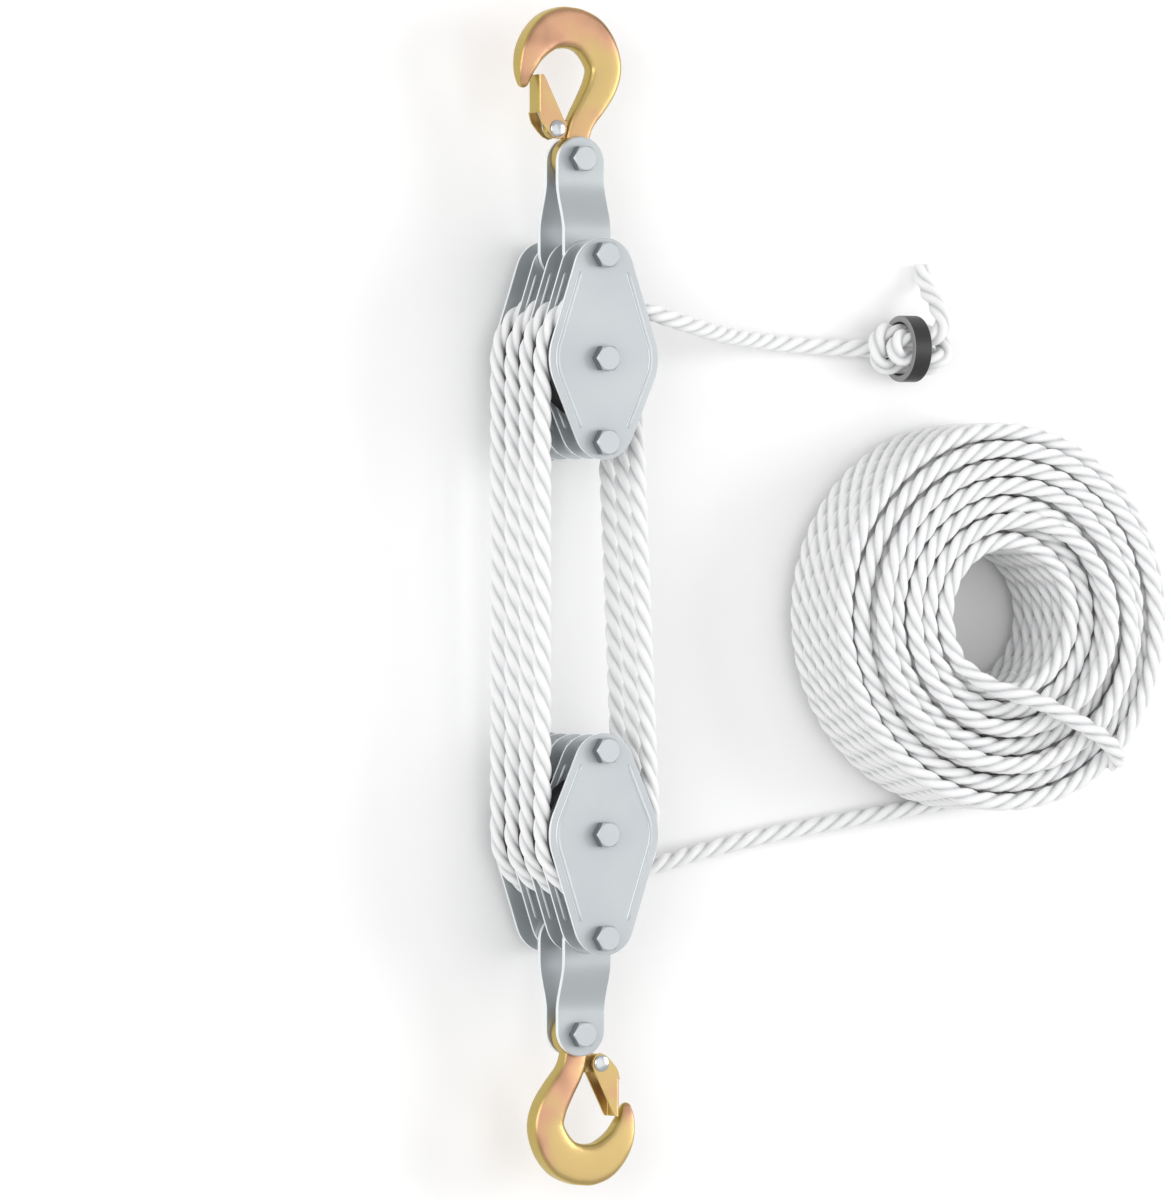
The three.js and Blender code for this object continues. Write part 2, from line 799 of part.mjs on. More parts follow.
// The foot of the coil, where the hauling line runs into its lowest turn.
const coilLineOuter = coilOuterRadius - ropeRadius;
const coilLineBottom = ropeRadius + touchGap;
const coilStartAngle = THREE.MathUtils.degToRad(coilStartDegrees);
const coilFoot = new THREE.Vector3(
  coilPlace.x + coilLineOuter * Math.cos(coilStartAngle),
  coilPlace.y + coilLineOuter * Math.sin(coilStartAngle),
  coilLineBottom,
);
const coilFootWay = new THREE.Vector3(-Math.sin(coilStartAngle), Math.cos(coilStartAngle), 0);

// Hauling line: off lower sheave 4, down to the floor, then in a long bow to the coil's foot.
const haulRoute = [
  [7.98, -160.54, 19.5],
  [24.6, -156.9, 19.5],
  [42.2, -153.1, 18.6],
  [59.8, -149.3, 15.6],
  [79.3, -145.1, 11.2],
  [98.9, -140.8, 7.6],
  [120.4, -136.4, 5.7],
  [143.8, -132, 5.3],
];
const haulBowSteps = 3;
const haulEnd = coilFoot.clone().addScaledVector(coilFootWay, -ropeDiameter - touchGap);
const haulBowStart = new THREE.Vector3(...haulRoute[haulRoute.length - 1]);
const haulBowHalf = haulBowStart.distanceTo(haulEnd) / 2;
const haulBow = new THREE.QuadraticBezierCurve3(
  haulBowStart,
  haulEnd.clone().addScaledVector(coilFootWay, -haulBowHalf),
  haulEnd,
);
const haulPoints = [...haulRoute, ...haulBow.getPoints(haulBowSteps).slice(1).map((p) => p.toArray())];
const haulSteps = 16;
const haulLine = tube(smoothRoute(haulPoints, haulSteps), ropeRadius, ropeSides);
addMesh(tackle, "hauling_rope", haulLine, ropeWhite);

// Coil: the outer layer of turns runs up the outer wall, across the top and down the hole.
const coilLineInner = coilHoleRadius + ropeRadius;
const coilLineTop = coilHeight - ropeRadius;

function coilProfile() {
  const path = new THREE.Path();
  const outerBend = coilLineOuter - coilCornerRadius;
  const innerBend = coilLineInner + coilCornerRadius;
  const bendZ = coilLineTop - coilCornerRadius;
  path.moveTo(coilLineOuter, coilLineBottom);
  path.lineTo(coilLineOuter, bendZ);
  path.absarc(outerBend, bendZ, coilCornerRadius, 0, Math.PI / 2);
  path.lineTo(innerBend, coilLineTop);
  path.absarc(innerBend, bendZ, coilCornerRadius, Math.PI / 2, Math.PI);
  path.lineTo(coilLineInner, coilLineBottom);
  return path;
}

function windingPoints() {
  const profile = coilProfile();
  const loops = profile.getLength() / coilPitch;
  const steps = Math.round(loops * loopSteps);
  profile.arcLengthDivisions = steps * 4;
  const turns = Array.from({ length: steps + 1 }, (_, i) => {
    const at = profile.getPointAt(i / steps);
    const angle = coilStartAngle + (i / loopSteps) * Math.PI * 2;
    return new THREE.Vector3(
      coilPlace.x + at.x * Math.cos(angle),
      coilPlace.y + at.x * Math.sin(angle),
      at.y,
    );
  });
  const straightEnd = (end, next) => {
    const out = new THREE.Vector3(end.y - coilPlace.y, coilPlace.x - end.x, 0).normalize();
    const way = out.dot(end.clone().sub(next)) < 0 ? -ropeDiameter : ropeDiameter;
    return end.clone().addScaledVector(out, way);
  };
  const last = turns.length - 1;
  const first = straightEnd(turns[0], turns[1]);
  return [first, ...turns, straightEnd(turns[last], turns[last - 1])];
}

function leastGapToItself(points, radius, skip) {
  let least = Infinity;
  for (let i = 0; i < points.length; i++) {
    for (let k = i + skip; k < points.length; k++) {
      least = Math.min(least, points[i].distanceTo(points[k]));
    }
  }
  return least - 2 * radius;
}

const winding = windingPoints();
const windingGap = leastGapToItself(winding, ropeRadius, loopSteps / 2);
console.log(`Least gap of the coil's winding to itself: ${windingGap.toFixed(2)} mm`);
addMesh(tackle, "coil_winding", tube(winding, ropeRadius, loopSides), ropeWhite);

const coreGap = ropeRadius + 2 * touchGap;
const chordLoss = coilLineOuter * (1 - Math.cos(Math.PI / loopSteps));
const coreOuter = coilLineOuter - coreGap - chordLoss;
const straightEndLoss = Math.hypot(coilLineInner, ropeDiameter) - coilLineInner;
const coreInner = coilLineInner + coreGap + straightEndLoss;
const coreTop = coilLineTop - coreGap;
const coreCorner = coilCornerRadius - coreGap;
const coreSegments = 30;
const coreBends = 3;

function coreProfile() {
  const profile = [
    [coreInner, 0],
    [coreOuter, 0],
  ];
  for (let i = 0; i <= coreBends; i++) {
    const angle = ((i / coreBends) * Math.PI) / 2;
    profile.push([
      coreOuter - coreCorner + coreCorner * Math.cos(angle),
      coreTop - coreCorner + coreCorner * Math.sin(angle),
    ]);
  }
  for (let i = 0; i <= coreBends; i++) {
    const angle = Math.PI / 2 + ((i / coreBends) * Math.PI) / 2;
    profile.push([
      coreInner + coreCorner + coreCorner * Math.cos(angle),
      coreTop - coreCorner + coreCorner * Math.sin(angle),
    ]);
  }
  return profile;
}

const core = turned(coreProfile(), coreSegments).translate(coilPlace.x, coilPlace.y, 0);
addMesh(tackle, "coil_core", core, ropeWhite);

export default tackle;
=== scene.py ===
# A block and tackle lying flat: two blocks of four sheaves, reeved with laid white rope for a
# 7:1 pull, a stop ring knotted on the tail and the rest of the rope in a coil.

import math

import bmesh
import bpy
import numpy as np
from mathutils import Matrix, Vector


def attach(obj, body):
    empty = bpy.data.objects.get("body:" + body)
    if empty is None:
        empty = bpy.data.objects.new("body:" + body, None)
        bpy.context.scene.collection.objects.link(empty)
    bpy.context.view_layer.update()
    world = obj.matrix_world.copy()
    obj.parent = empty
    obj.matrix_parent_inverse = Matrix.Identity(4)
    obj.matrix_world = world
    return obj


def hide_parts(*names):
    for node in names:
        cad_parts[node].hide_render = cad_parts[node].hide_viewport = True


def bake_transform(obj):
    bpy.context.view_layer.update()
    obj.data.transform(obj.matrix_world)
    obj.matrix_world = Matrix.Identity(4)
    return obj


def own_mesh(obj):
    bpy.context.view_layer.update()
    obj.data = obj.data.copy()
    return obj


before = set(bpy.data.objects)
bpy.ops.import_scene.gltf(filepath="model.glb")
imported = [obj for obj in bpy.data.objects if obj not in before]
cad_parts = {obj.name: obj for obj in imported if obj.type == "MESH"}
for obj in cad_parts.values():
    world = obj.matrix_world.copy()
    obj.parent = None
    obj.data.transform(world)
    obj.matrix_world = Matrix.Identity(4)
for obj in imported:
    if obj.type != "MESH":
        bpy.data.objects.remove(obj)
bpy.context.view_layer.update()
MM = 0.001

# The camera looks down on the set from the side of the left falls, 28.5 degrees off the upright,
# with the row's +Y up the picture. Its long lens keeps the picture nearly without perspective.
CAMERA_TILT = math.radians(28.5)
CAMERA_AIM = Vector((7, -1.9, 44.4)) * MM
CAMERA_DISTANCE = 5.0
PICTURE_HEIGHT = 652 * MM
SENSOR = 36
CAMERA_CLIP = 50
camera_data = bpy.data.cameras.new("camera")
camera_data.sensor_width = SENSOR
camera_data.lens = SENSOR * CAMERA_DISTANCE / PICTURE_HEIGHT
camera_data.clip_end = CAMERA_CLIP
camera = bpy.data.objects.new("camera", camera_data)
bpy.context.scene.collection.objects.link(camera)
camera_right = Vector((math.cos(CAMERA_TILT), 0, math.sin(CAMERA_TILT)))
camera_up = Vector((0, 1, 0))
camera_back = camera_right.cross(camera_up)
camera.matrix_world = Matrix.Translation(CAMERA_AIM + camera_back * CAMERA_DISTANCE) @ Matrix(
    (camera_right, camera_up, camera_back)
).transposed().to_4x4()
bpy.context.scene.camera = camera

# Rope: white three-strand polypropylene, 10 mm, laid right-handed. Each strand is a bundle of
# slightly glossy filament yarns, so the lobes shine softly and fine lines run along the rope.
ROPE_DIAMETER = 10 * MM
STRAND_RADIUS = 2.72 * MM
STRAND_OFFSET = ROPE_DIAMETER / 2 - STRAND_RADIUS
STRANDS = 3
ROPE_LAY = 38 * MM
ROPE_GIRTH = math.pi * ROPE_DIAMETER
# Yarns drawn coarser than real, in streaks that are about as long as the rope's girth.
YARN_SPACING = 0.9 * MM
YARN_LENGTH_SCALE = 0.9


def linear(hex_colour):
    """The linear RGBA value of an sRGB colour written as hex digits."""
    channels = [int(hex_colour[i : i + 2], 16) / 255 for i in (0, 2, 4)]
    curve = [c / 12.92 if c <= 0.04045 else ((c + 0.055) / 1.055) ** 2.4 for c in channels]
    return (*curve, 1)


def add_node(tree, kind, settings=None, values=None, links=None):
    """Adds one node, sets its properties and input values, and links inputs to other sockets."""
    node = tree.nodes.new(kind)
    for name, value in (settings or {}).items():
        setattr(node, name, value)
    for name, value in (values or {}).items():
        node.inputs[name].default_value = value
    for name, socket in (links or {}).items():
        tree.links.new(socket, node.inputs[name])
    return node


def new_material(name):
    """An empty node material with its surface shader: the material, its tree and the shader."""
    material = bpy.data.materials.new(name)
    material.use_nodes = True
    shader = material.node_tree.nodes["Principled BSDF"]
    return material, material.node_tree, shader


def noise(tree, place, scale, detail=3.0, roughness=0.5):
    """Random mottling between 0 and 1, at a scale in patches per unit of place."""
    values = {"Scale": scale, "Detail": detail, "Roughness": roughness}
    return add_node(tree, "ShaderNodeTexNoise", None, values, {"Vector": place}).outputs["Fac"]


def remapped(tree, value, start, end, low=0.0, high=1.0):
    """A value stretched so that start becomes low and end becomes high."""
    values = {"From Min": start, "From Max": end, "To Min": low, "To Max": high}
    return add_node(tree, "ShaderNodeMapRange", None, values, {"Value": value}).outputs["Result"]


def mixed(tree, share, first, second):
    """Two colours mixed by a share, each one hex digits or the colour of another node."""
    mix = add_node(tree, "ShaderNodeMix", {"data_type": "RGBA"}, links={"Factor": share})
    for name, colour in (("A", first), ("B", second)):
        if isinstance(colour, str):
            mix.inputs[name].default_value = linear(colour)
        else:
            tree.links.new(colour, mix.inputs[name])
    return mix.outputs["Result"]


def raised(tree, shader, height, strength, depth):
    """Raises a surface by a pattern that is depth high."""
    values = {"Strength": strength, "Distance": depth}
    bump = add_node(tree, "ShaderNodeBump", None, values, {"Height": height})
    tree.links.new(bump.outputs["Normal"], shader.inputs["Normal"])


def laid_polypropylene():
    """White filament yarns: soft sheen, fine lines along the strands, and painted shade greying the
    rope towards the grooves between strands.
    """
    material, tree, shader = new_material("laid_polypropylene")
    uv = add_node(tree, "ShaderNodeUVMap", {"uv_map": "lay"})
    yarn_map = add_node(
        tree,
        "ShaderNodeMapping",
        values={"Scale": (ROPE_GIRTH / YARN_SPACING, YARN_LENGTH_SCALE, 1)},
        links={"Vector": uv.outputs["UV"]},
    )
    yarn = noise(tree, yarn_map.outputs["Vector"], 1.0, roughness=0.6)
    # Painted shade: the groove attribute greys the white towards the grooves between strands, where
    # shade falls.
    groove = add_node(tree, "ShaderNodeAttribute", {"attribute_name": "groove"})
    shade = mixed(tree, groove.outputs["Fac"], "F7F7F7", "C9CBCD")
    streak = remapped(tree, yarn, 0.3, 0.75, 0.93, 1.0)
    colour = add_node(
        tree,
        "ShaderNodeVectorMath",
        {"operation": "SCALE"},
        links={"Vector": shade, "Scale": streak},
    )
    tree.links.new(colour.outputs["Vector"], shader.inputs["Base Color"])
    raised(tree, shader, yarn, 0.35, 0.25 * MM)
    shader.inputs["Roughness"].default_value = 0.55
    shader.inputs["IOR"].default_value = 1.49
    shader.inputs["Sheen Weight"].default_value = 0.15
    return material


ROPE_MATERIAL = laid_polypropylene()


def link_object(name, mesh, material):
    """A new object at the origin, holding this mesh and this material."""
    mesh.materials.clear()
    mesh.materials.append(material)
    piece = bpy.data.objects.new(name, mesh)
    bpy.context.scene.collection.objects.link(piece)
    return piece


def smooth_line(points, per_span=12):
    """Points on one smooth curve through these, closely spaced."""
    p = np.array(points, float)
    p = np.vstack([2 * p[0] - p[1], p, 2 * p[-1] - p[-2]])
    t = np.linspace(0, 1, per_span, endpoint=False)[:, None]
    spans = []
    for a, b, c, d in zip(p[:-3], p[1:-2], p[2:-1], p[3:]):
        spans.append(
            0.5
            * (
                2 * b
                + (c - a) * t
                + (2 * a - 5 * b + 4 * c - d) * t**2
                + (3 * b - a - 3 * c + d) * t**3
            )
        )
    return np.vstack([*spans, p[-2:-1]])


def even_steps(line, step):
    """The same line with its points an even step apart, and how far along it each one is."""
    lengths = np.concatenate([[0], np.cumsum(np.linalg.norm(np.diff(line, axis=0), axis=1))])
    count = max(2, int(round(lengths[-1] / step)))
    at = np.linspace(0, lengths[-1], count + 1)
    return np.stack([np.interp(at, lengths, line[:, k]) for k in range(3)], axis=1), at


def line_length(line):
    """The length along a line of points."""
    return float(np.linalg.norm(np.diff(line, axis=0), axis=1).sum())


def strand_section(per_strand):
    """Angles, radii, their slopes and the depth in the groove that sets the painted groove shade,
    round three touching strands.
    """
    half_lobe = math.pi / STRANDS
    within = np.linspace(-half_lobe, half_lobe, per_strand, endpoint=False)
    radius = STRAND_OFFSET * np.cos(within) + np.sqrt(
        STRAND_RADIUS**2 - (STRAND_OFFSET * np.sin(within)) ** 2
    )
    angles = np.concatenate([within + 2 * half_lobe * k for k in range(STRANDS)])
    slope = -STRAND_OFFSET * np.sin(within) - STRAND_OFFSET**2 * np.sin(within) * np.cos(
        within
    ) / (radius - STRAND_OFFSET * np.cos(within))
    slope[0] = 0
    depth = (np.abs(within) / half_lobe) ** 3
    return angles, *(np.tile(row, STRANDS) for row in (radius, slope, depth))


def laid_tubes(name, lines, step, per_strand):
    """A mesh of laid rope along lines, each (points, length before them), with capped ends."""
    angles, radius, slope, depth = strand_section(per_strand)
    twist = -2 * math.pi / ROPE_LAY
    count = len(angles)
    vertices, normals, faces, uvs, grooves = [], [], [], [], []
    base = 0
    for line, first in lines:
        ring_centres, at = even_steps(line, step)
        tangents = np.gradient(ring_centres, axis=0, edge_order=2)
        tangents /= np.linalg.norm(tangents, axis=1)[:, None]
        across = np.cross(tangents[0], (0, 0, 1.0))
        if np.linalg.norm(across) < 0.1:
            across = np.cross(tangents[0], (0, 1.0, 0))
        for i, (centre, tangent) in enumerate(zip(ring_centres, tangents)):
            across = across - tangent * (across @ tangent)
            across /= np.linalg.norm(across)
            side = np.cross(tangent, across)
            turn = angles + twist * (at[i] + first)
            outward = np.outer(np.cos(turn), across) + np.outer(np.sin(turn), side)
            round_way = np.outer(-np.sin(turn), across) + np.outer(np.cos(turn), side)
            vertices.append(centre + outward * radius[:, None])
            normals.append(
                outward * radius[:, None]
                - round_way * slope[:, None]
                + np.outer(radius * slope * twist, tangent)
            )
            if i:
                low = base + (i - 1) * count
                for k in range(count):
                    n = (k + 1) % count
                    faces.append((low + k, low + n, low + n + count, low + k + count))
                    v0 = (at[i - 1] + first) / ROPE_GIRTH
                    v1 = (at[i] + first) / ROPE_GIRTH
                    lean = v0 * ROPE_GIRTH / ROPE_LAY
                    u0, u1 = k / count - lean, (k + 1) / count - lean
                    uvs += [(u0, v0), (u1, v0), (u1, v1), (u0, v1)]
            grooves.append(depth)
        last = base + (len(ring_centres) - 1) * count
        faces.append(tuple(range(base + count - 1, base - 1, -1)))
        faces.append(tuple(range(last, last + count)))
        uvs += [(0.5, 0.5)] * (2 * count)
        base = last + count
    mesh = bpy.data.meshes.new(name)
    mesh.from_pydata(np.vstack(vertices).tolist(), [], faces)
    uv_layer = mesh.uv_layers.new(name="lay")
    uv_layer.data.foreach_set("uv", np.array(uvs, np.float32).ravel())
    # The groove attribute is where the rope material paints shade into the grooves between strands.
    groove = mesh.attributes.new("groove", "FLOAT", "POINT")
    groove.data.foreach_set("value", np.concatenate(grooves).astype(np.float32))
    mesh.shade_smooth()
    directions = np.vstack(normals)
    directions /= np.linalg.norm(directions, axis=1)[:, None]
    corner_normals = []
    for face in mesh.polygons:
        if len(face.vertices) == 4:
            corner_normals += [directions[v] for v in face.vertices]
        else:
            corner_normals += [face.normal[:]] * len(face.vertices)
    mesh.normals_split_custom_set(corner_normals)
    return link_object(name, mesh, ROPE_MATERIAL)


# Tail: the end of the rope comes off the front sheave of the upper block, drops to the floor and
# goes five times through the stop ring, with two bights on its near face and two behind it. Its
# cut end points along the row. The route is in mm, and the line is eased to a rope's soft bends.
TAIL_ROUTE = [
    (8.95, 160.28, 69.3),
    (22, 157.1, 69.3),
    (36, 153.8, 68.4),
    (51.5, 150.4, 64.2),
    (70.9, 147, 54.6),
    (90.4, 144.3, 42),
    (109.8, 142.6, 29.5),
    (129.2, 141.3, 18.6),
    (148.6, 140.2, 10.4),
    (168, 139.3, 6.3),
    (185.5, 138.7, 5.4),
    (201, 138.3, 6.4),
    (213, 138.1, 8.2),
    (225, 138, 9.1),
    (232, 138.3, 8.9),
    (238.4, 138.8, 8.5),
    (243.4, 137.2, 9.7),
    (245.4, 133.4, 12.4),
    (243.4, 129.6, 15),
    (238.2, 128.1, 16.1),
    (231, 129, 15.8),
    (225, 129.3, 15.6),
    (217.5, 128.6, 16),
    (210.8, 128.4, 17.8),
    (206.2, 131.8, 18.9),
    (204.8, 138, 19.5),
    (206.2, 144.2, 18.9),
    (210.8, 147.6, 17.8),
    (217.5, 147.4, 16),
    (225, 146.9, 15.6),
    (232, 147.1, 15.2),
    (239.4, 148, 15.8),
    (245, 145, 18.2),
    (246.8, 139, 22.2),
    (244.2, 133.6, 25.8),
    (238, 131.9, 26.9),
    (231, 132.4, 26.2),
    (225, 132.5, 26),
    (218, 132, 26.3),
    (213.3, 133.6, 27.4),
    (211.3, 138, 28.3),
    (213.3, 142.4, 27.4),
    (218, 144, 26.3),
    (225, 143.5, 26),
    (232.4, 143.6, 26.4),
    (238.4, 145.4, 28.4),
    (241.6, 150.6, 29),
    (242, 158, 26),
    (242, 165.4, 18.8),
    (242.2, 172.2, 10.8),
    (242.4, 178.6, 6.3),
    (242.4, 185.6, 5.4),
]
FINE_STEP = 1.7 * MM
FINE_STRAND_FACES = 8
EASING_PASSES = 6
tail_line = even_steps(smooth_line(np.array(TAIL_ROUTE) * MM), MM)[0]
for _ in range(EASING_PASSES):
    tail_line[1:-1] = (tail_line[:-2] + 2 * tail_line[1:-1] + tail_line[2:]) / 4
tail_rope = laid_tubes("tail", [(tail_line, 0)], FINE_STEP, FINE_STRAND_FACES)

# Hauling line and coil: the line comes off the rear sheave of the lower block and runs in a bow
# to the foot of the coil. The coil is wound in seven layers, from the outside inwards, each one
# up or down the last, and its inner end is brought over the top and hangs down outside.
HAUL_ROUTE = [
    (7.98, -160.54, 19.5),
    (24.6, -156.9, 19.5),
    (42.2, -153.1, 18.6),
    (59.8, -149.3, 15.6),
    (79.3, -145.1, 11.2),
    (98.9, -140.8, 7.6),
    (120.4, -136.4, 5.7),
    (143.8, -132, 5.3),
]
COIL_CENTRE = np.array((262, -11)) * MM
COIL_OUTER_LINE = 103 * MM
COIL_FOOT = 5.3 * MM
COIL_START = math.radians(-83)
LAYER_SPACING = 10.15 * MM
# For each layer, its turns and the height of its top turn in mm.
LAYERS = [
    (6.0, 65.0),
    (6.4, 71.5),
    (6.6, 74.0),
    (6.6, 74.5),
    (6.6, 74.0),
    (6.5, 73.0),
    (6.17, 70.0),
]
# The share of a turn in which the rope steps in to the next layer.
LAYER_CHANGE = 0.35
TURN_POINTS = 36
# Where the bow from the line to the coil has its points, as shares of its way.
BOW_SHARES = (0.2, 0.4, 0.6, 0.8, 0.93)
COIL_STEP = 3.7 * MM
COIL_STRAND_FACES = 5
HAUL_POINTS_PER_SPAN = 4
# The free end: angle round the coil in degrees, distance from its middle and height.
FREE_END = [
    (-117, 42, 76),
    (-99, 43, 82),
    (-82, 47, 84.6),
    (-69, 55.5, 85.4),
    (-60, 68, 85.6),
    (-54, 82, 84.8),
    (-51, 95, 80.5),
    (-50, 104.5, 72),
    (-49.5, 108, 60),
]


def coil_place(angle, radius, height):
    """A point by its angle round the coil, its distance from the middle and its height."""
    x = COIL_CENTRE[0] + radius * math.cos(angle)
    return (x, COIL_CENTRE[1] + radius * math.sin(angle), height)


def coil_line():
    """Points along the coil from its foot to the free end."""
    points = []
    angle = COIL_START
    radius_before, z_before = COIL_OUTER_LINE, COIL_FOOT
    for layer, (turns, top) in enumerate(LAYERS):
        radius = COIL_OUTER_LINE - layer * LAYER_SPACING
        z_from, z_to = (COIL_FOOT, top * MM) if layer % 2 == 0 else (top * MM, COIL_FOOT)
        steps = int(round(turns * TURN_POINTS))
        for i in range(steps):
            done = i / steps * turns
            change = min(1, done / LAYER_CHANGE)
            change = change * change * (3 - 2 * change)
            r = radius_before + (radius - radius_before) * change
            z = z_from + (z_to - z_from) * done / turns + (z_before - z_from) * (1 - change)
            points.append(coil_place(angle + 2 * math.pi * done, r, z))
        angle += 2 * math.pi * turns
        radius_before, z_before = radius, z_to
    for degrees, distance, height in FREE_END:
        points.append(coil_place(math.radians(degrees), distance * MM, height * MM))
    return points


coil_points = coil_line()
foot = np.array(coil_points[0])
foot_way = np.array((-math.sin(COIL_START), math.cos(COIL_START), 0))
bow_start = np.array(HAUL_ROUTE[-1]) * MM
bow_control = foot - foot_way * np.linalg.norm(foot - bow_start) / 2
bow = [
    bow_start * (1 - s) ** 2 + bow_control * 2 * s * (1 - s) + foot * s * s
    for s in BOW_SHARES
]
haul_points = [*(np.array(HAUL_ROUTE) * MM), *bow, *coil_points]
haul_line = smooth_line(haul_points, HAUL_POINTS_PER_SPAN)
haul_rope = laid_tubes(
    "hauling_line_and_coil", [(haul_line, 0)], COIL_STEP, COIL_STRAND_FACES
)
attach(haul_rope, "lower_block")
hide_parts("hauling_rope", "coil_winding", "coil_core")

# Stop ring: a piece of black rubber tube, standing on its rim, that keeps the tail's knot from
# being pulled into the block. It is cut to length. Its two faces and their rounded edges are
# painted pale grey: a painted reflection on the faces, a painted highlight on the edges.
RING_CENTRE = Vector((225, 138, 18.5)) * MM
RING_OUTER = 18.5 * MM
RING_HOLE = 15 * MM
RING_WIDTH = 11 * MM
RING_EDGE = 0.8 * MM
ROUND_STEPS = 72
CORNER_STEPS = 4
SHARP_DEGREES = 35
MERGE_DISTANCE = 0.001 * MM
# Grains of the skin per metre, about one to the millimetre, which is coarser than real.
RUBBER_GRAIN = 0.9 / MM


def applied(piece):
    """Applies a piece's modifiers to its mesh."""
    finished = piece.evaluated_get(bpy.context.evaluated_depsgraph_get())
    mesh = bpy.data.meshes.new_from_object(finished)
    piece.modifiers.clear()
    piece.data = mesh
    return piece


def finish_mesh(name, bm, material, sharp_degrees=SHARP_DEGREES):
    """Turns a bmesh into an object with outward faces, smooth but for its real edges."""
    bmesh.ops.remove_doubles(bm, verts=bm.verts, dist=MERGE_DISTANCE)
    bmesh.ops.recalc_face_normals(bm, faces=bm.faces)
    mesh = bpy.data.meshes.new(name)
    bm.to_mesh(mesh)
    bm.free()
    mesh.shade_smooth()
    mesh.set_sharp_from_angle(angle=math.radians(sharp_degrees))
    piece = link_object(name, mesh, material)
    weigh = piece.modifiers.new("flat faces stay flat", "WEIGHTED_NORMAL")
    weigh.keep_sharp = True
    return applied(piece)


def spin_profile(bm, profile, axis, steps=ROUND_STEPS):
    """Turns a closed profile of points right round an axis."""
    verts = [bm.verts.new(p) for p in profile]
    edges = [bm.edges.new((a, b)) for a, b in zip(verts, verts[1:] + verts[:1])]
    bmesh.ops.spin(
        bm,
        geom=verts + edges,
        cent=(0, 0, 0),
        axis=axis,
        angle=2 * math.pi,
        steps=steps,
        use_merge=True,
    )


def rounded_corner(before, corner, after, radius):
    """Points that round off one corner of an outline."""
    to_before = (before - corner).normalized()
    to_after = (after - corner).normalized()
    start, end = corner + to_before * radius, corner + to_after * radius
    points = []
    for i in range(CORNER_STEPS + 1):
        t = i / CORNER_STEPS
        points.append(start * (1 - t) ** 2 + corner * 2 * t * (1 - t) + end * t**2)
    return points


def rounded_outline(corners, radii):
    """A closed outline through corners, each rounded by its own radius."""
    points = []
    for i, (corner, radius) in enumerate(zip(corners, radii)):
        before, after = corners[i - 1], corners[(i + 1) % len(corners)]
        points += rounded_corner(before, corner, after, radius) if radius else [corner]
    return points


def steepness(tree, coordinates, axis, start, end):
    """From 0 to 1 as the surface turns, where start and end are its normal's share along axis."""
    normal = add_node(
        tree, "ShaderNodeSeparateXYZ", links={"Vector": coordinates.outputs["Normal"]}
    )
    size = add_node(
        tree, "ShaderNodeMath", {"operation": "ABSOLUTE"}, links={0: normal.outputs[axis]}
    )
    return remapped(tree, size.outputs["Value"], start, end)


def cut_rubber():
    """Black rubber with a dull gloss: the band is dark, and the two cut faces and their rounded
    edges are painted pale as reflection and highlight.
    """
    material, tree, shader = new_material("cut_rubber")
    place = add_node(tree, "ShaderNodeTexCoord")
    skin = noise(tree, place.outputs["Object"], RUBBER_GRAIN, 4.0)
    band = mixed(tree, skin, "232324", "303032")
    # Painted reflection and highlight: faces turned along the ring's axis, and its rounded edges,
    # are painted pale grey.
    colour = mixed(tree, steepness(tree, place, "X", 0.3, 0.5), band, "8A8B8A")
    tree.links.new(colour, shader.inputs["Base Color"])
    raised(tree, shader, skin, 0.2, 0.2 * MM)
    shader.inputs["Roughness"].default_value = 0.4
    return material


RUBBER_MATERIAL = cut_rubber()
ring_mesh = bmesh.new()
half_ring = RING_WIDTH / 2
ring_corners = [
    Vector((-half_ring, 0, RING_HOLE)),
    Vector((half_ring, 0, RING_HOLE)),
    Vector((half_ring, 0, RING_OUTER)),
    Vector((-half_ring, 0, RING_OUTER)),
]
spin_profile(ring_mesh, rounded_outline(ring_corners, [RING_EDGE] * 4), (1, 0, 0))
bmesh.ops.translate(ring_mesh, verts=ring_mesh.verts, vec=RING_CENTRE)
stop_ring = finish_mesh("ring_on_tail", ring_mesh, RUBBER_MATERIAL)
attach(stop_ring, "lower_block")
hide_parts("stop_ring")

# The ring is threaded on the tail, so the tail's own calls follow it.
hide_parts("tail_rope")
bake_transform(tail_rope)

# Reeved rope: one length that goes from sheave to sheave, down the left side and up the right.
# The wraps stay with their block, and the falls between the axle lines go with the lower block.
AXLE_Y = 128.5 * MM
ROPE_LINE = 33 * MM
STACK_TOP = 76.8 * MM
BAY_WIDTH = 15 * MM
PARTITION = 1.6 * MM
BAYS = 4
BAY_Z = [STACK_TOP - BAY_WIDTH / 2 - i * (BAY_WIDTH + PARTITION) for i in range(BAYS)]
TAIL_ANGLE = math.radians(76)
HAUL_ANGLE = math.radians(360 - 77.75)
SLANT_START = 25 * MM
ARC_POINTS = 400


def arc_points(centre_y, z, start, end):
    """Points along the rope where it lies round a sheave."""
    angles = np.linspace(start, end, ARC_POINTS)
    return np.stack(
        [
            ROPE_LINE * np.cos(angles),
            centre_y + ROPE_LINE * np.sin(angles),
            np.full_like(angles, z),
        ],
        axis=1,
    )


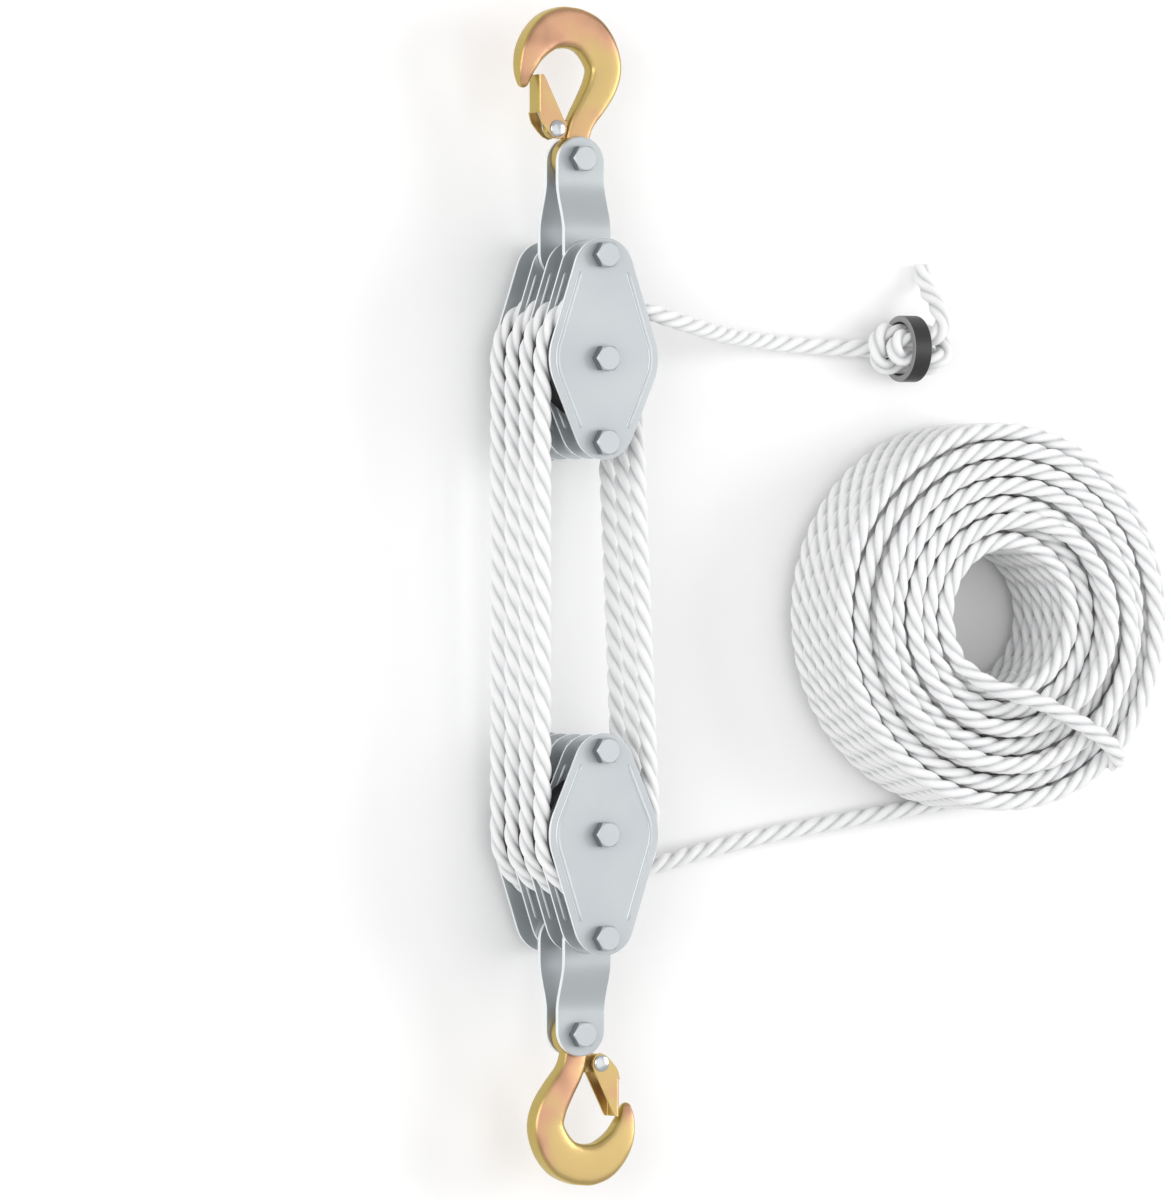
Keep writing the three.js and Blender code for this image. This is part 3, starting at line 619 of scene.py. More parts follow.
upper_wraps, lower_wraps, falls = [], [], []
run = 0.0
for i, z in enumerate(BAY_Z):
    last = i == BAYS - 1
    upper = arc_points(AXLE_Y, z, TAIL_ANGLE if i == 0 else 0, math.pi)
    left = np.array([(-ROPE_LINE, AXLE_Y, z), (-ROPE_LINE, -AXLE_Y, z)])
    lower = arc_points(-AXLE_Y, z, math.pi, HAUL_ANGLE if last else 2 * math.pi)
    pieces = [(upper_wraps, upper), (falls, left), (lower_wraps, lower)]
    if not last:
        below = BAY_Z[i + 1]
        straight = AXLE_Y - SLANT_START
        right = smooth_line(
            [
                (ROPE_LINE, -AXLE_Y, z),
                (ROPE_LINE, -straight, z),
                (ROPE_LINE, straight, below),
                (ROPE_LINE, AXLE_Y, below),
            ]
        )
        pieces.append((falls, right))
    for group, line in pieces:
        group.append((line, run))
        run += line_length(line)

upper_rope = laid_tubes(
    "rope_round_upper_sheaves", upper_wraps, FINE_STEP, FINE_STRAND_FACES
)
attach(upper_rope, "upper_block")
lower_rope = laid_tubes(
    "rope_round_lower_sheaves", lower_wraps, FINE_STEP, FINE_STRAND_FACES
)
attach(lower_rope, "lower_block")
fall_rope = laid_tubes("rope_falls", falls, FINE_STEP, FINE_STRAND_FACES)
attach(fall_rope, "lower_block")
for rope in (upper_rope, lower_rope, fall_rope):
    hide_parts("reeved_rope")
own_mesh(fall_rope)

# Metals and plastics: pressed plates and hex bolts are zinc plated, satin and nearly even, with a
# near-white painted highlight on the plates' rims and painted shade on the bolts' sides; nuts,
# sleeves, rivets and springs have a bright plate that mirrors, a little paler on steep sides as
# painted highlight; hooks and latches are passivated yellow with a rose tint; sheaves are black
# moulded nylon.
SHEET_CLOUDS = 1 / (40 * MM)
BRIGHT_CLOUDS = 1 / (25 * MM)
# Grains of the metal per metre, about one to the millimetre, which is coarser than real.
METAL_GRAIN = 0.9 / MM
GLOSS_SPREAD = 0.07


def grained(tree, shader, place, roughness, spread, strength, depth):
    """Gives a metal its fine grain, which shows in its gloss and in low relief."""
    grain = noise(tree, place.outputs["Object"], METAL_GRAIN)
    gloss = remapped(tree, grain, 0, 1, roughness - spread, roughness + spread)
    tree.links.new(gloss, shader.inputs["Roughness"])
    raised(tree, shader, grain, strength, depth)


def worked_metal(name, base, second, rim, roughness, clouds, metallic=1.0):
    """Metal of two close colours in soft clouds, with a third painted on its steep sides and rims:
    painted highlight where paler, painted shade where darker.
    """
    material, tree, shader = new_material(name)
    place = add_node(tree, "ShaderNodeTexCoord")
    cloud = noise(tree, place.outputs["Object"], clouds, 2.0, 0.4)
    face = mixed(tree, remapped(tree, cloud, 0.35, 0.65), base, second)
    # The rim colour is painted by the way a surface faces: a painted highlight when it is paler,
    # painted shade when darker.
    colour = mixed(tree, steepness(tree, place, "Z", 0.85, 0.65), face, rim)
    tree.links.new(colour, shader.inputs["Base Color"])
    grained(tree, shader, place, roughness, GLOSS_SPREAD, 0.06, 0.1 * MM)
    shader.inputs["Metallic"].default_value = metallic
    return material


# Last colour of each: a near-white painted highlight on the plates' rims, painted shade on the
# bolts' sides, a faint painted highlight on the bright steel's steep sides.
ZINC = worked_metal("zinc_plated_sheet", "BABFC1", "B4B9BC", "F4F7F8", 0.45, SHEET_CLOUDS, 0.65)
ZINC_BOLT_WITH_PAINTED_SIDE_SHADE = worked_metal("zinc_plated_bolt", "BEC3C5", "B8BDC0", "7E868A", 0.4, SHEET_CLOUDS, 0.65)
BRIGHT = worked_metal("bright_plated_steel", "CDD0D2", "C0C4C7", "D9DCDE", 0.22, BRIGHT_CLOUDS)

# The yellow film's clouds of colour per metre, each some 35 mm across.
FILM_CLOUDS = 0.028 / MM


def yellow_passivated_steel():
    """Zinc with a yellow chromate film: gold to rose on the flat faces, greenish at the rims."""
    material, tree, shader = new_material("yellow_passivated_steel")
    place = add_node(tree, "ShaderNodeTexCoord")
    cloud = noise(tree, place.outputs["Object"], FILM_CLOUDS, 2.0, 0.4)
    film = add_node(tree, "ShaderNodeValToRGB", links={"Fac": cloud})
    stops = film.color_ramp.elements
    stops[0].position, stops[0].color = 0.4, linear("C9AE75")
    stops[1].position, stops[1].color = 0.7, linear("98735C")
    stops.new(0.55).color = linear("C99B7C")
    steep = steepness(tree, place, "Z", 0.92, 0.55)
    colour = mixed(tree, steep, film.outputs["Color"], "BFA95F")
    tree.links.new(colour, shader.inputs["Base Color"])
    grained(tree, shader, place, 0.35, 0.09, 0.3, 0.12 * MM)
    shader.inputs["Metallic"].default_value = 0.9
    return material


GOLD = yellow_passivated_steel()
# Moulded nylon is one even black with a satin gloss, so it has no pattern.
BLACK_NYLON, _, nylon_shader = new_material("black_nylon")
nylon_shader.inputs["Base Color"].default_value = linear("17181A")
nylon_shader.inputs["Roughness"].default_value = 0.4

# The two blocks are alike, so each of their pieces is made once, for the upper block, and its
# twin for the lower block is turned half round.
SIDES = (("upper", 0), ("lower", math.pi))
SMALL_ROUND_STEPS = 48
# Edges of a plate that turn by more radians than this are rounded, as right angles are.
ROUNDED_EDGE_TURN = 1.2


def both_sides(bm, name, node, body, material, sharp_degrees=SHARP_DEGREES):
    """Makes a piece on the upper block from a bmesh, and its twin on the lower block."""
    piece = finish_mesh(f"upper_{name}", bm, material, sharp_degrees)
    for side, turn in SIDES:
        if turn:
            mesh = piece.data.copy()
            mesh.transform(Matrix.Rotation(turn, 4, "Z"))
            piece = link_object(f"{side}_{name}", mesh, material)
        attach(piece, f"{side}_{body}")
        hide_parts(f"{side}_{node}")


def loft_rings(bm, rings):
    """Skins equal rings of points one to the next, and closes the two ends."""
    rows = [[bm.verts.new(p) for p in ring] for ring in rings]
    count = len(rows[0])
    for low, high in zip(rows, rows[1:]):
        for k in range(count):
            n = (k + 1) % count
            bm.faces.new((low[k], low[n], high[n], high[k]))
    bm.faces.new(rows[0][::-1])
    bm.faces.new(rows[-1])


def circle_points(x, y, radius, count=SMALL_ROUND_STEPS):
    """The points of a circle."""
    turn = [2 * math.pi * i / count for i in range(count)]
    return [Vector((x + radius * math.cos(a), y + radius * math.sin(a))) for a in turn]


def hull_of_circles(circles, arc_steps):
    """The outline round a loop of circles, each (x, y, radius), taken anticlockwise."""
    normals = []
    for (x, y, r), (x2, y2, r2) in zip(circles, circles[1:] + circles[:1]):
        way = math.atan2(y2 - y, x2 - x)
        normals.append(way - math.acos((r - r2) / math.hypot(x2 - x, y2 - y)))
    outline = []
    for i, (x, y, r) in enumerate(circles):
        start, end = normals[i - 1], normals[i]
        while end < start:
            end += 2 * math.pi
        for k in range(arc_steps + 1):
            a = start + (end - start) * k / arc_steps
            outline.append(Vector((x + r * math.cos(a), y + r * math.sin(a))))
    return outline


def plate_solid(bm, outline, holes, bottom, thickness, edge_round=0.0, segments=2):
    """A flat plate from an outline and its holes, its edges rounded over."""
    part = bmesh.new()
    edges = []
    for loop in [outline, *holes]:
        verts = [part.verts.new((p.x, p.y, bottom)) for p in loop]
        edges += [part.edges.new((a, b)) for a, b in zip(verts, verts[1:] + verts[:1])]
    bmesh.ops.triangle_fill(part, edges=edges, use_beauty=True)
    flat = part.faces[:]
    extruded = bmesh.ops.extrude_face_region(part, geom=flat, use_keep_orig=True)["geom"]
    top = [item for item in extruded if isinstance(item, bmesh.types.BMVert)]
    bmesh.ops.translate(part, verts=top, vec=(0, 0, thickness))
    bmesh.ops.recalc_face_normals(part, faces=part.faces)
    if edge_round:
        rim = [e for e in part.edges if e.calc_face_angle(0) > ROUNDED_EDGE_TURN]
        bmesh.ops.bevel(
            part,
            geom=rim,
            offset=edge_round,
            segments=segments,
            affect="EDGES",
            profile=0.5,
            clamp_overlap=True,
        )
    mesh = bpy.data.meshes.new("part")
    part.to_mesh(mesh)
    part.free()
    bm.from_mesh(mesh)
    bpy.data.meshes.remove(mesh)


def shift(bm, x=0.0, y=0.0, z=0.0):
    """Moves a whole bmesh."""
    bmesh.ops.translate(bm, verts=bm.verts, vec=(x, y, z))


def turn_about_z(bm, profile, steps=ROUND_STEPS):
    """Turns a closed outline, given by radius and height, right round Z."""
    spin_profile(bm, [Vector((r, 0, z)) for r, z in profile], (0, 0, 1), steps)


# Cheeks and partitions: rounded-diamond plates pressed from zinc-plated sheet, widest at the axle.
# The cheeks have a half-round rib pressed out along each slanted edge, the partitions one on each
# face that is lower where it passes the sheaves.
CHEEK = 2 * MM
REAR_CHEEK_BOTTOM = 10 * MM
STACK_BOTTOM = REAR_CHEEK_BOTTOM + CHEEK
BAY_PITCH = BAY_WIDTH + PARTITION
HEAD_BOLT = 55.9 * MM
TAIL_BOLT = 45.3 * MM
PLATE_HALF_WIDTH = 33.4 * MM
PLATE_CORNER = 30 * MM
PLATE_END = 18.5 * MM
PLATE_END_REACH = 9.5 * MM
PARTITION_INSET = 0.8 * MM
RIB_INSET = 4.9 * MM
RIB_END_INSET = 4 * MM
BOLT_RADIUS = 4 * MM
HOLE_GAP = 0.35 * MM
TOUCH_GAP = 0.3 * MM
SLEEVE_RADIUS = 5.6 * MM
SLEEVE_WALL = 1.2 * MM
PLATE_ARC_STEPS = 20
CHEEK_EDGE = 0.6 * MM
CHEEK_EDGE_STEPS = 3
PARTITION_EDGE = 0.45 * MM
SHEAVE_RADIUS = 33.5 * MM
CHEEK_RIB = 2.6 * MM
PARTITION_RIB = 2.4 * MM
RIB_RISE = 0.95 * MM
RIB_RISE_AT_SHEAVE = 0.35 * MM
RIB_LOW_BEYOND_SHEAVE = 2 * MM
# Shares of a rib's rise that are sunk in the plate, and of its width and rise at its ends.
RIB_SUNK = 0.3
RIB_END_WIDTH = 0.5
RIB_END_RISE = 0.1
RIB_STRAIGHT_STEPS = 16
RIB_ARCH_STEPS = 8


def plate_circles(inset):
    """The four circles that a plate's outline runs round, drawn in by an inset."""
    side = PLATE_HALF_WIDTH - PLATE_CORNER
    return [
        (0, PLATE_END - TAIL_BOLT - PLATE_END_REACH, PLATE_END - inset),
        (side, 0, PLATE_CORNER - inset),
        (0, HEAD_BOLT + PLATE_END_REACH - PLATE_END, PLATE_END - inset),
        (-side, 0, PLATE_CORNER - inset),
    ]


def add_ribs(bm, face_z, out, width, rise, low_rise):
    """Two half-round ribs along the slants, fading out at their ends."""
    outline = hull_of_circles(plate_circles(RIB_INSET), PLATE_ARC_STEPS)
    per_arc = PLATE_ARC_STEPS + 1
    for start in (1, 3):
        before = outline[start * per_arc - 1]
        after = outline[(start + 1) * per_arc % len(outline)]
        arc = outline[start * per_arc : (start + 1) * per_arc]
        first = before.lerp(arc[0], RIB_END_INSET / (before - arc[0]).length)
        last = after.lerp(arc[-1], RIB_END_INSET / (after - arc[-1]).length)
        path = []
        for start_point, end_point in ((first, arc[0]), (arc[-1], last)):
            part = [
                start_point.lerp(end_point, s / RIB_STRAIGHT_STEPS)
                for s in range(RIB_STRAIGHT_STEPS + 1)
            ]
            path += part + arc[1:-1] if not path else part
        rings = []
        for i, p in enumerate(path):
            way = (path[min(i + 1, len(path) - 1)] - path[max(i - 1, 0)]).normalized()
            end = i in (0, len(path) - 1)
            ring = []
            at_sheave = p.length < SHEAVE_RADIUS + RIB_LOW_BEYOND_SHEAVE
            height = low_rise if at_sheave else rise
            for k in range(RIB_ARCH_STEPS + 1):
                a = math.pi * k / RIB_ARCH_STEPS
                across = width / 2 * math.cos(a) * (RIB_END_WIDTH if end else 1)
                up = height * math.sin(a) * (RIB_END_RISE if end else 1) - height * RIB_SUNK
                ring.append(
                    Vector((p.x + way.y * across, p.y - way.x * across, face_z + out * up))
                )
            rings.append(ring)
        loft_rings(bm, rings)


for name, bottom, out in (
    ("front_cheek", STACK_TOP, 1),
    ("rear_cheek", REAR_CHEEK_BOTTOM, -1),
):
    cheek = bmesh.new()
    plate_solid(
        cheek,
        hull_of_circles(plate_circles(0), PLATE_ARC_STEPS),
        [circle_points(0, y, BOLT_RADIUS + HOLE_GAP) for y in (0, HEAD_BOLT, -TAIL_BOLT)],
        bottom,
        CHEEK,
        CHEEK_EDGE,
        CHEEK_EDGE_STEPS,
    )
    face_z = bottom + CHEEK if out > 0 else bottom
    add_ribs(cheek, face_z, out, CHEEK_RIB, RIB_RISE, RIB_RISE)
    shift(cheek, y=AXLE_Y)
    both_sides(cheek, name, name, "block", ZINC)

for i in range(1, BAYS):
    bottom = STACK_TOP - i * BAY_PITCH
    partition = bmesh.new()
    end_hole = SLEEVE_RADIUS + HOLE_GAP
    holes = [circle_points(0, 0, BOLT_RADIUS + HOLE_GAP)]
    holes += [circle_points(0, y, end_hole) for y in (HEAD_BOLT, -TAIL_BOLT)]
    outline = hull_of_circles(plate_circles(PARTITION_INSET), PLATE_ARC_STEPS)
    plate_solid(partition, outline, holes, bottom, PARTITION, PARTITION_EDGE)
    for face_z, out in ((bottom + PARTITION, 1), (bottom, -1)):
        add_ribs(partition, face_z, out, PARTITION_RIB, RIB_RISE, RIB_RISE_AT_SHEAVE)
    shift(partition, y=AXLE_Y)
    both_sides(partition, f"partition_{i}", f"partition_{i}", "block", ZINC)

# Sheaves: wheels moulded in black nylon, with a round rope groove between thin flanges, and a hub
# that stands a little proud of the recessed sides.
SHEAVE_HALF = 7 * MM
SHEAVE_BORE = 4.3 * MM
GROOVE_RADIUS = 5.75 * MM
HUB_RADIUS = 9 * MM
WEB_OUTER = 25 * MM
WEB_RECESS = 1.2 * MM
FLANGE_CHAMFER = 0.4 * MM
FLANGE_RIM = 0.9 * MM
GROOVE_START = math.radians(20)
GROOVE_TURN = math.radians(140)
GROOVE_STEPS = 8


def sheave_profile():
    """The section of a sheave on one side of its bore, by radius and height."""
    side = [
        (SHEAVE_BORE, SHEAVE_HALF),
        (HUB_RADIUS, SHEAVE_HALF),
        (HUB_RADIUS + WEB_RECESS, SHEAVE_HALF - WEB_RECESS),
        (WEB_OUTER - WEB_RECESS, SHEAVE_HALF - WEB_RECESS),
        (WEB_OUTER, SHEAVE_HALF),
        (SHEAVE_RADIUS - FLANGE_CHAMFER, SHEAVE_HALF),
        (SHEAVE_RADIUS, SHEAVE_HALF - FLANGE_CHAMFER),
        (SHEAVE_RADIUS, SHEAVE_HALF - FLANGE_RIM),
    ]
    groove = []
    for k in range(GROOVE_STEPS + 1):
        a = GROOVE_START + GROOVE_TURN * k / GROOVE_STEPS
        groove.append((ROPE_LINE - GROOVE_RADIUS * math.sin(a), GROOVE_RADIUS * math.cos(a)))
    mirrored = [(r, -z) for r, z in reversed(side)]
    return side + groove + mirrored


for i, z in enumerate(BAY_Z):
    wheel = bmesh.new()
    turn_about_z(wheel, sheave_profile())
    shift(wheel, y=AXLE_Y, z=z)
    node = f"sheave_{i + 1}"
    both_sides(wheel, f"wheel_{i + 1}", node, node, BLACK_NYLON)

# Bolts and lock nuts: M8 hex heads in front with chamfered corners, shanks through the stack with
# thread at the lower end, and lock nuts with a round collar. Bright sleeves space the plates.
ACROSS_FLATS = 13 * MM
HEAD_RISE = 5.3 * MM
NUT_HEIGHT = 7.6 * MM
NUT_COLLAR = 2 * MM
THREAD_PITCH = 1.25 * MM
THREAD_DEPTH = 0.6 * MM
THREAD_RUN_OUT = 0.4 * MM
SHANK_STEPS = 32
HEX_SHARP_DEGREES = 24
HEX_CHAMFER = math.radians(30)
HEX_FACE_SHARE = 0.95
STEPS_PER_FLAT = 6
COLLAR_RADIUS = 5.4 * MM
COLLAR_SHOULDER = 0.9 * MM
COLLAR_ROUND = 0.3 * MM
COLLAR_BULGE = 0.25 * MM
COLLAR_OVERLAP = 0.2 * MM


def hex_rings(bottom, top, chamfer_bottom, chamfer_top):
    """Rings of a hexagonal prism whose corners are chamfered at either end."""
    inner = ACROSS_FLATS / 2 * HEX_FACE_SHARE
    corners = [
        Vector((math.cos(a), math.sin(a))) * ACROSS_FLATS / math.sqrt(3)
        for a in (k * math.pi / 3 for k in range(6))
    ]
    flat = [
        corners[k].lerp(corners[(k + 1) % 6], s / STEPS_PER_FLAT)
        for k in range(6)
        for s in range(STEPS_PER_FLAT)
    ]
    drops = [(p.length - inner) * math.tan(HEX_CHAMFER) for p in flat]
    rings = []
    if chamfer_bottom:
        rings.append([(*(p.normalized() * inner), bottom) for p in flat])
    rings.append([(*p, bottom + (d if chamfer_bottom else 0)) for p, d in zip(flat, drops)])
    rings.append([(*p, top - (d if chamfer_top else 0)) for p, d in zip(flat, drops)])
    if chamfer_top:
        rings.append([(*(p.normalized() * inner), top) for p in flat])
    return rings


def add_bolt(bm, head_seat, end, thread_top):
    """A hex head on its seat, and a shank with thread from thread_top down to its end."""
    loft_rings(bm, hex_rings(head_seat, head_seat + HEAD_RISE, False, True))
    profile = [(BOLT_RADIUS, head_seat), (BOLT_RADIUS, thread_top)]
    z = thread_top
    while z - THREAD_PITCH > end + THREAD_RUN_OUT:
        profile += [
            (BOLT_RADIUS - THREAD_DEPTH, z - THREAD_PITCH / 2),
            (BOLT_RADIUS, z - THREAD_PITCH),
        ]
        z -= THREAD_PITCH
    profile += [(BOLT_RADIUS - THREAD_DEPTH, end), (0, end), (0, head_seat)]
    turn_about_z(bm, profile, SHANK_STEPS)


def add_nut(bm, bottom):
    """A hexagon whose corners are chamfered at both ends, with its round collar below."""
    top = bottom + NUT_HEIGHT
    loft_rings(bm, hex_rings(bottom + NUT_COLLAR, top, True, True))
    inner = BOLT_RADIUS + HOLE_GAP
    collar_top = bottom + NUT_COLLAR + COLLAR_OVERLAP
    collar = [
        (inner, bottom),
        (COLLAR_RADIUS - COLLAR_SHOULDER, bottom),
        (COLLAR_RADIUS - COLLAR_BULGE, bottom + COLLAR_ROUND),
        (COLLAR_RADIUS, bottom + COLLAR_SHOULDER),
        (COLLAR_RADIUS, collar_top),
        (inner, collar_top),
    ]
    turn_about_z(bm, collar, SMALL_ROUND_STEPS)


def fasten(name, body, y, head_seat, end, thread_top, nut_bottom):
    """A hex bolt and its lock nut, at one place along the row."""
    bolt, nut = bmesh.new(), bmesh.new()
    add_bolt(bolt, head_seat, end, thread_top)
    add_nut(nut, nut_bottom)
    for bm, piece, node, slot, material in (
        (bolt, f"{name}_hex_bolt", f"{name}_bolt", "zinc_plate", ZINC_BOLT_WITH_PAINTED_SIDE_SHADE),
        (nut, f"{name}_lock_nut", f"{name}_nut", "bright_zinc", BRIGHT),
    ):
        shift(bm, y=y)
        both_sides(bm, piece, node, body, material, HEX_SHARP_DEGREES)


block_head_seat = STACK_TOP + CHEEK + TOUCH_GAP
block_nut_bottom = REAR_CHEEK_BOTTOM - TOUCH_GAP - NUT_HEIGHT
for name, y in (("axle", 0), ("head", HEAD_BOLT), ("tail", -TAIL_BOLT)):
    fasten(name, "block", AXLE_Y + y, block_head_seat, 0, REAR_CHEEK_BOTTOM, block_nut_bottom)

SLEEVE_EDGE = 0.25 * MM
for name, y in (("head_sleeve", HEAD_BOLT), ("tail_sleeve", -TAIL_BOLT)):
    sleeve = bmesh.new()
    low, high = STACK_BOTTOM + TOUCH_GAP, STACK_TOP - TOUCH_GAP
    inner = SLEEVE_RADIUS - SLEEVE_WALL
    wall = [(inner, low), (SLEEVE_RADIUS, low), (SLEEVE_RADIUS, high), (inner, high)]
    section = rounded_outline([Vector(corner) for corner in wall], [SLEEVE_EDGE] * 4)
    turn_about_z(sleeve, section, SMALL_ROUND_STEPS)
    shift(sleeve, y=AXLE_Y + y)
    both_sides(sleeve, f"{name}_tube", name, "block", BRIGHT)

# Straps: two flat bars of zinc-plated steel with round ends, from the head bolt to the hook's
# eye, bent inwards in an easy double bend. A hex bolt with a lock nut holds the hook in them.
STRAP = 3 * MM
STRAP_HALF_WIDTH = 14.4 * MM
STRAP_END_INSET = 2.4 * MM
HEAD_TO_HOOK = 53 * MM
BEND_START = 13 * MM
BEND_END = 41 * MM
EYE_HALF = 4.8 * MM
MIDDLE_Z = 44.4 * MM
HEAD_Y = AXLE_Y + HEAD_BOLT
HOOK_Y = HEAD_Y + HEAD_TO_HOOK
BEND_CUTS = 26
STRAP_ARC_STEPS = 28
front_at_block = STACK_TOP - BAY_PITCH - TOUCH_GAP - STRAP
rear_at_block = STACK_BOTTOM + BAY_PITCH + TOUCH_GAP
front_at_eye = MIDDLE_Z + EYE_HALF + TOUCH_GAP
rear_at_eye = MIDDLE_Z - EYE_HALF - TOUCH_GAP - STRAP

for name, at_block, at_eye in (
    ("front_strap", front_at_block, front_at_eye),
    ("rear_strap", rear_at_block, rear_at_eye),
):
    bar = bmesh.new()
    ends = [
        (0, STRAP_END_INSET, STRAP_HALF_WIDTH),
        (0, HEAD_TO_HOOK - STRAP_END_INSET, STRAP_HALF_WIDTH),
    ]
    holes = [
        circle_points(0, 0, SLEEVE_RADIUS + HOLE_GAP),
        circle_points(0, HEAD_TO_HOOK, BOLT_RADIUS + HOLE_GAP),
    ]
    outline = hull_of_circles(ends, STRAP_ARC_STEPS)
    plate_solid(bar, outline, holes, at_block, STRAP, CHEEK_EDGE, CHEEK_EDGE_STEPS)
    for i in range(BEND_CUTS + 1):
        at = BEND_START + (BEND_END - BEND_START) * i / BEND_CUTS
        bmesh.ops.bisect_plane(
            bar,
            geom=bar.verts[:] + bar.edges[:] + bar.faces[:],
            plane_co=(0, at, 0),
            plane_no=(0, 1, 0),
        )
    for vert in bar.verts:
        s = min(1, max(0, (vert.co.y - BEND_START) / (BEND_END - BEND_START)))
        vert.co.z += (at_eye - at_block) * s * s * (3 - 2 * s)
    shift(bar, y=HEAD_Y)
    both_sides(bar, f"{name}_bar", name, "straps", ZINC)

strap_nut_bottom = rear_at_eye - TOUCH_GAP - NUT_HEIGHT
fasten(
    "hook",
    "straps",
    HOOK_Y,
    front_at_eye + STRAP + TOUCH_GAP,
    strap_nut_bottom - NUT_COLLAR,
    rear_at_eye,
    strap_nut_bottom,
)

# Hooks: forged steel, passivated yellow, with a full back, a deep bowl and a pointed tip. The bar,
# the eye and the lug for the rivet are skinned as one body, so that they flow into each other,
# then drilled.
HOOK_REACH = 82.4 * MM
HOOK_DEPTH = 17.4 * MM
HOOK_THICKNESS = 12.4 * MM
EYE_RADIUS = 12.6 * MM
LUG_RADIUS = 5 * MM
LUG_THICKNESS = 4.4 * MM
RIVET_ACROSS = 13.5 * MM
RIVET_ALONG = 16.1 * MM
RIVET_RADIUS = 2 * MM
EYE_ROUND = 2.6 * MM
LUG_EDGE = 0.6 * MM
LUG_ARC_STEPS = 20
HOOK_VOXEL = 0.5 * MM
FLOW_FACTOR = 0.5
FLOW_PASSES = 4
HOOK_SHARP_DEGREES = 50
# Across and along as shares of the reach, then shares of the depth and of the thickness.
HOOK_LINE = [
    (0.0, 0.0, 0.9, 0.6),
    (0.0, 0.08, 0.86, 0.66),
    (-0.012, 0.17, 0.84, 0.76),
    (-0.048, 0.262, 0.84, 0.86),
    (-0.122, 0.375, 0.94, 0.96),
    (-0.186, 0.49, 1.04, 1.0),
    (-0.212, 0.605, 1.1, 1.0),
    (-0.172, 0.722, 1.2, 1.0),
    (-0.098, 0.812, 1.26, 1.0),
    (-0.01, 0.854, 1.27, 1.0),
    (0.052, 0.864, 1.27, 1.0),
    (0.11, 0.864, 1.27, 1.0),
    (0.194, 0.838, 1.2, 1.0),
    (0.272, 0.776, 1.06, 0.98),
    (0.33, 0.7, 0.88, 0.94),
    (0.363, 0.62, 0.69, 0.84),
    (0.38, 0.55, 0.5, 0.66),
    (0.384, 0.485, 0.3, 0.4),
]
# The section: shares of half the depth, inwards first, and of half the thickness.
HOOK_SECTION = [
    (1, 0.46),
    (0.82, 0.84),
    (0.42, 0.98),
    (-0.62, 1),
    (-0.9, 0.86),
    (-1, 0.56),
    (-1, -0.56),
    (-0.9, -0.86),
    (-0.62, -1),
    (0.42, -0.98),
    (0.82, -0.84),
    (1, -0.46),
]
# The tip is closed by two smaller rings: each one's share of the last, and its reach beyond it.
HOOK_TIP = ((0.8, 0.9 * MM), (0.45, 1.5 * MM))
HOOK_POINTS_PER_SPAN = 7
SECTION_POINTS_PER_SPAN = 4


def closed_smooth(points, per_span):
    """Points on one smooth closed curve through these."""
    looped = [*points[-2:], *points, *points[:2]]
    return smooth_line(looped, per_span)[2 * per_span : (2 + len(points)) * per_span]


def hook_place(bm):
    """From the hook's own frame, its opening at +X, to the upper hook's place."""
    turned = Matrix.Translation((0, HOOK_Y, MIDDLE_Z)) @ Matrix.Rotation(math.pi, 4, "Y")
    bmesh.ops.transform(bm, matrix=turned, verts=bm.verts)


def hook_bar(bm):
    """The bent bar, from inside the eye to the tip."""
    rows = smooth_line(HOOK_LINE, HOOK_POINTS_PER_SPAN)
    section = closed_smooth([(d, t, 0) for d, t in HOOK_SECTION], SECTION_POINTS_PER_SPAN)
    ways = np.gradient(rows[:, :2], axis=0)
    ways /= np.linalg.norm(ways, axis=1)[:, None]
    rings = []
    for (u, v, depth, thickness), (way_x, way_y) in zip(rows, ways):
        inward = np.array((way_y, -way_x))
        ring = []
        for d, t, _ in section:
            at = np.array((u, v)) * HOOK_REACH + inward * d * depth * HOOK_DEPTH / 2
            ring.append((at[0], at[1], t * thickness * HOOK_THICKNESS / 2))
        rings.append(ring)
    tip = np.mean(rings[-1], axis=0)
    ahead = np.array((*ways[-1], 0))
    for share, reach in HOOK_TIP:
        rings.append([tip + (np.array(p) - tip) * share + ahead * reach for p in rings[-1]])
    loft_rings(bm, rings)


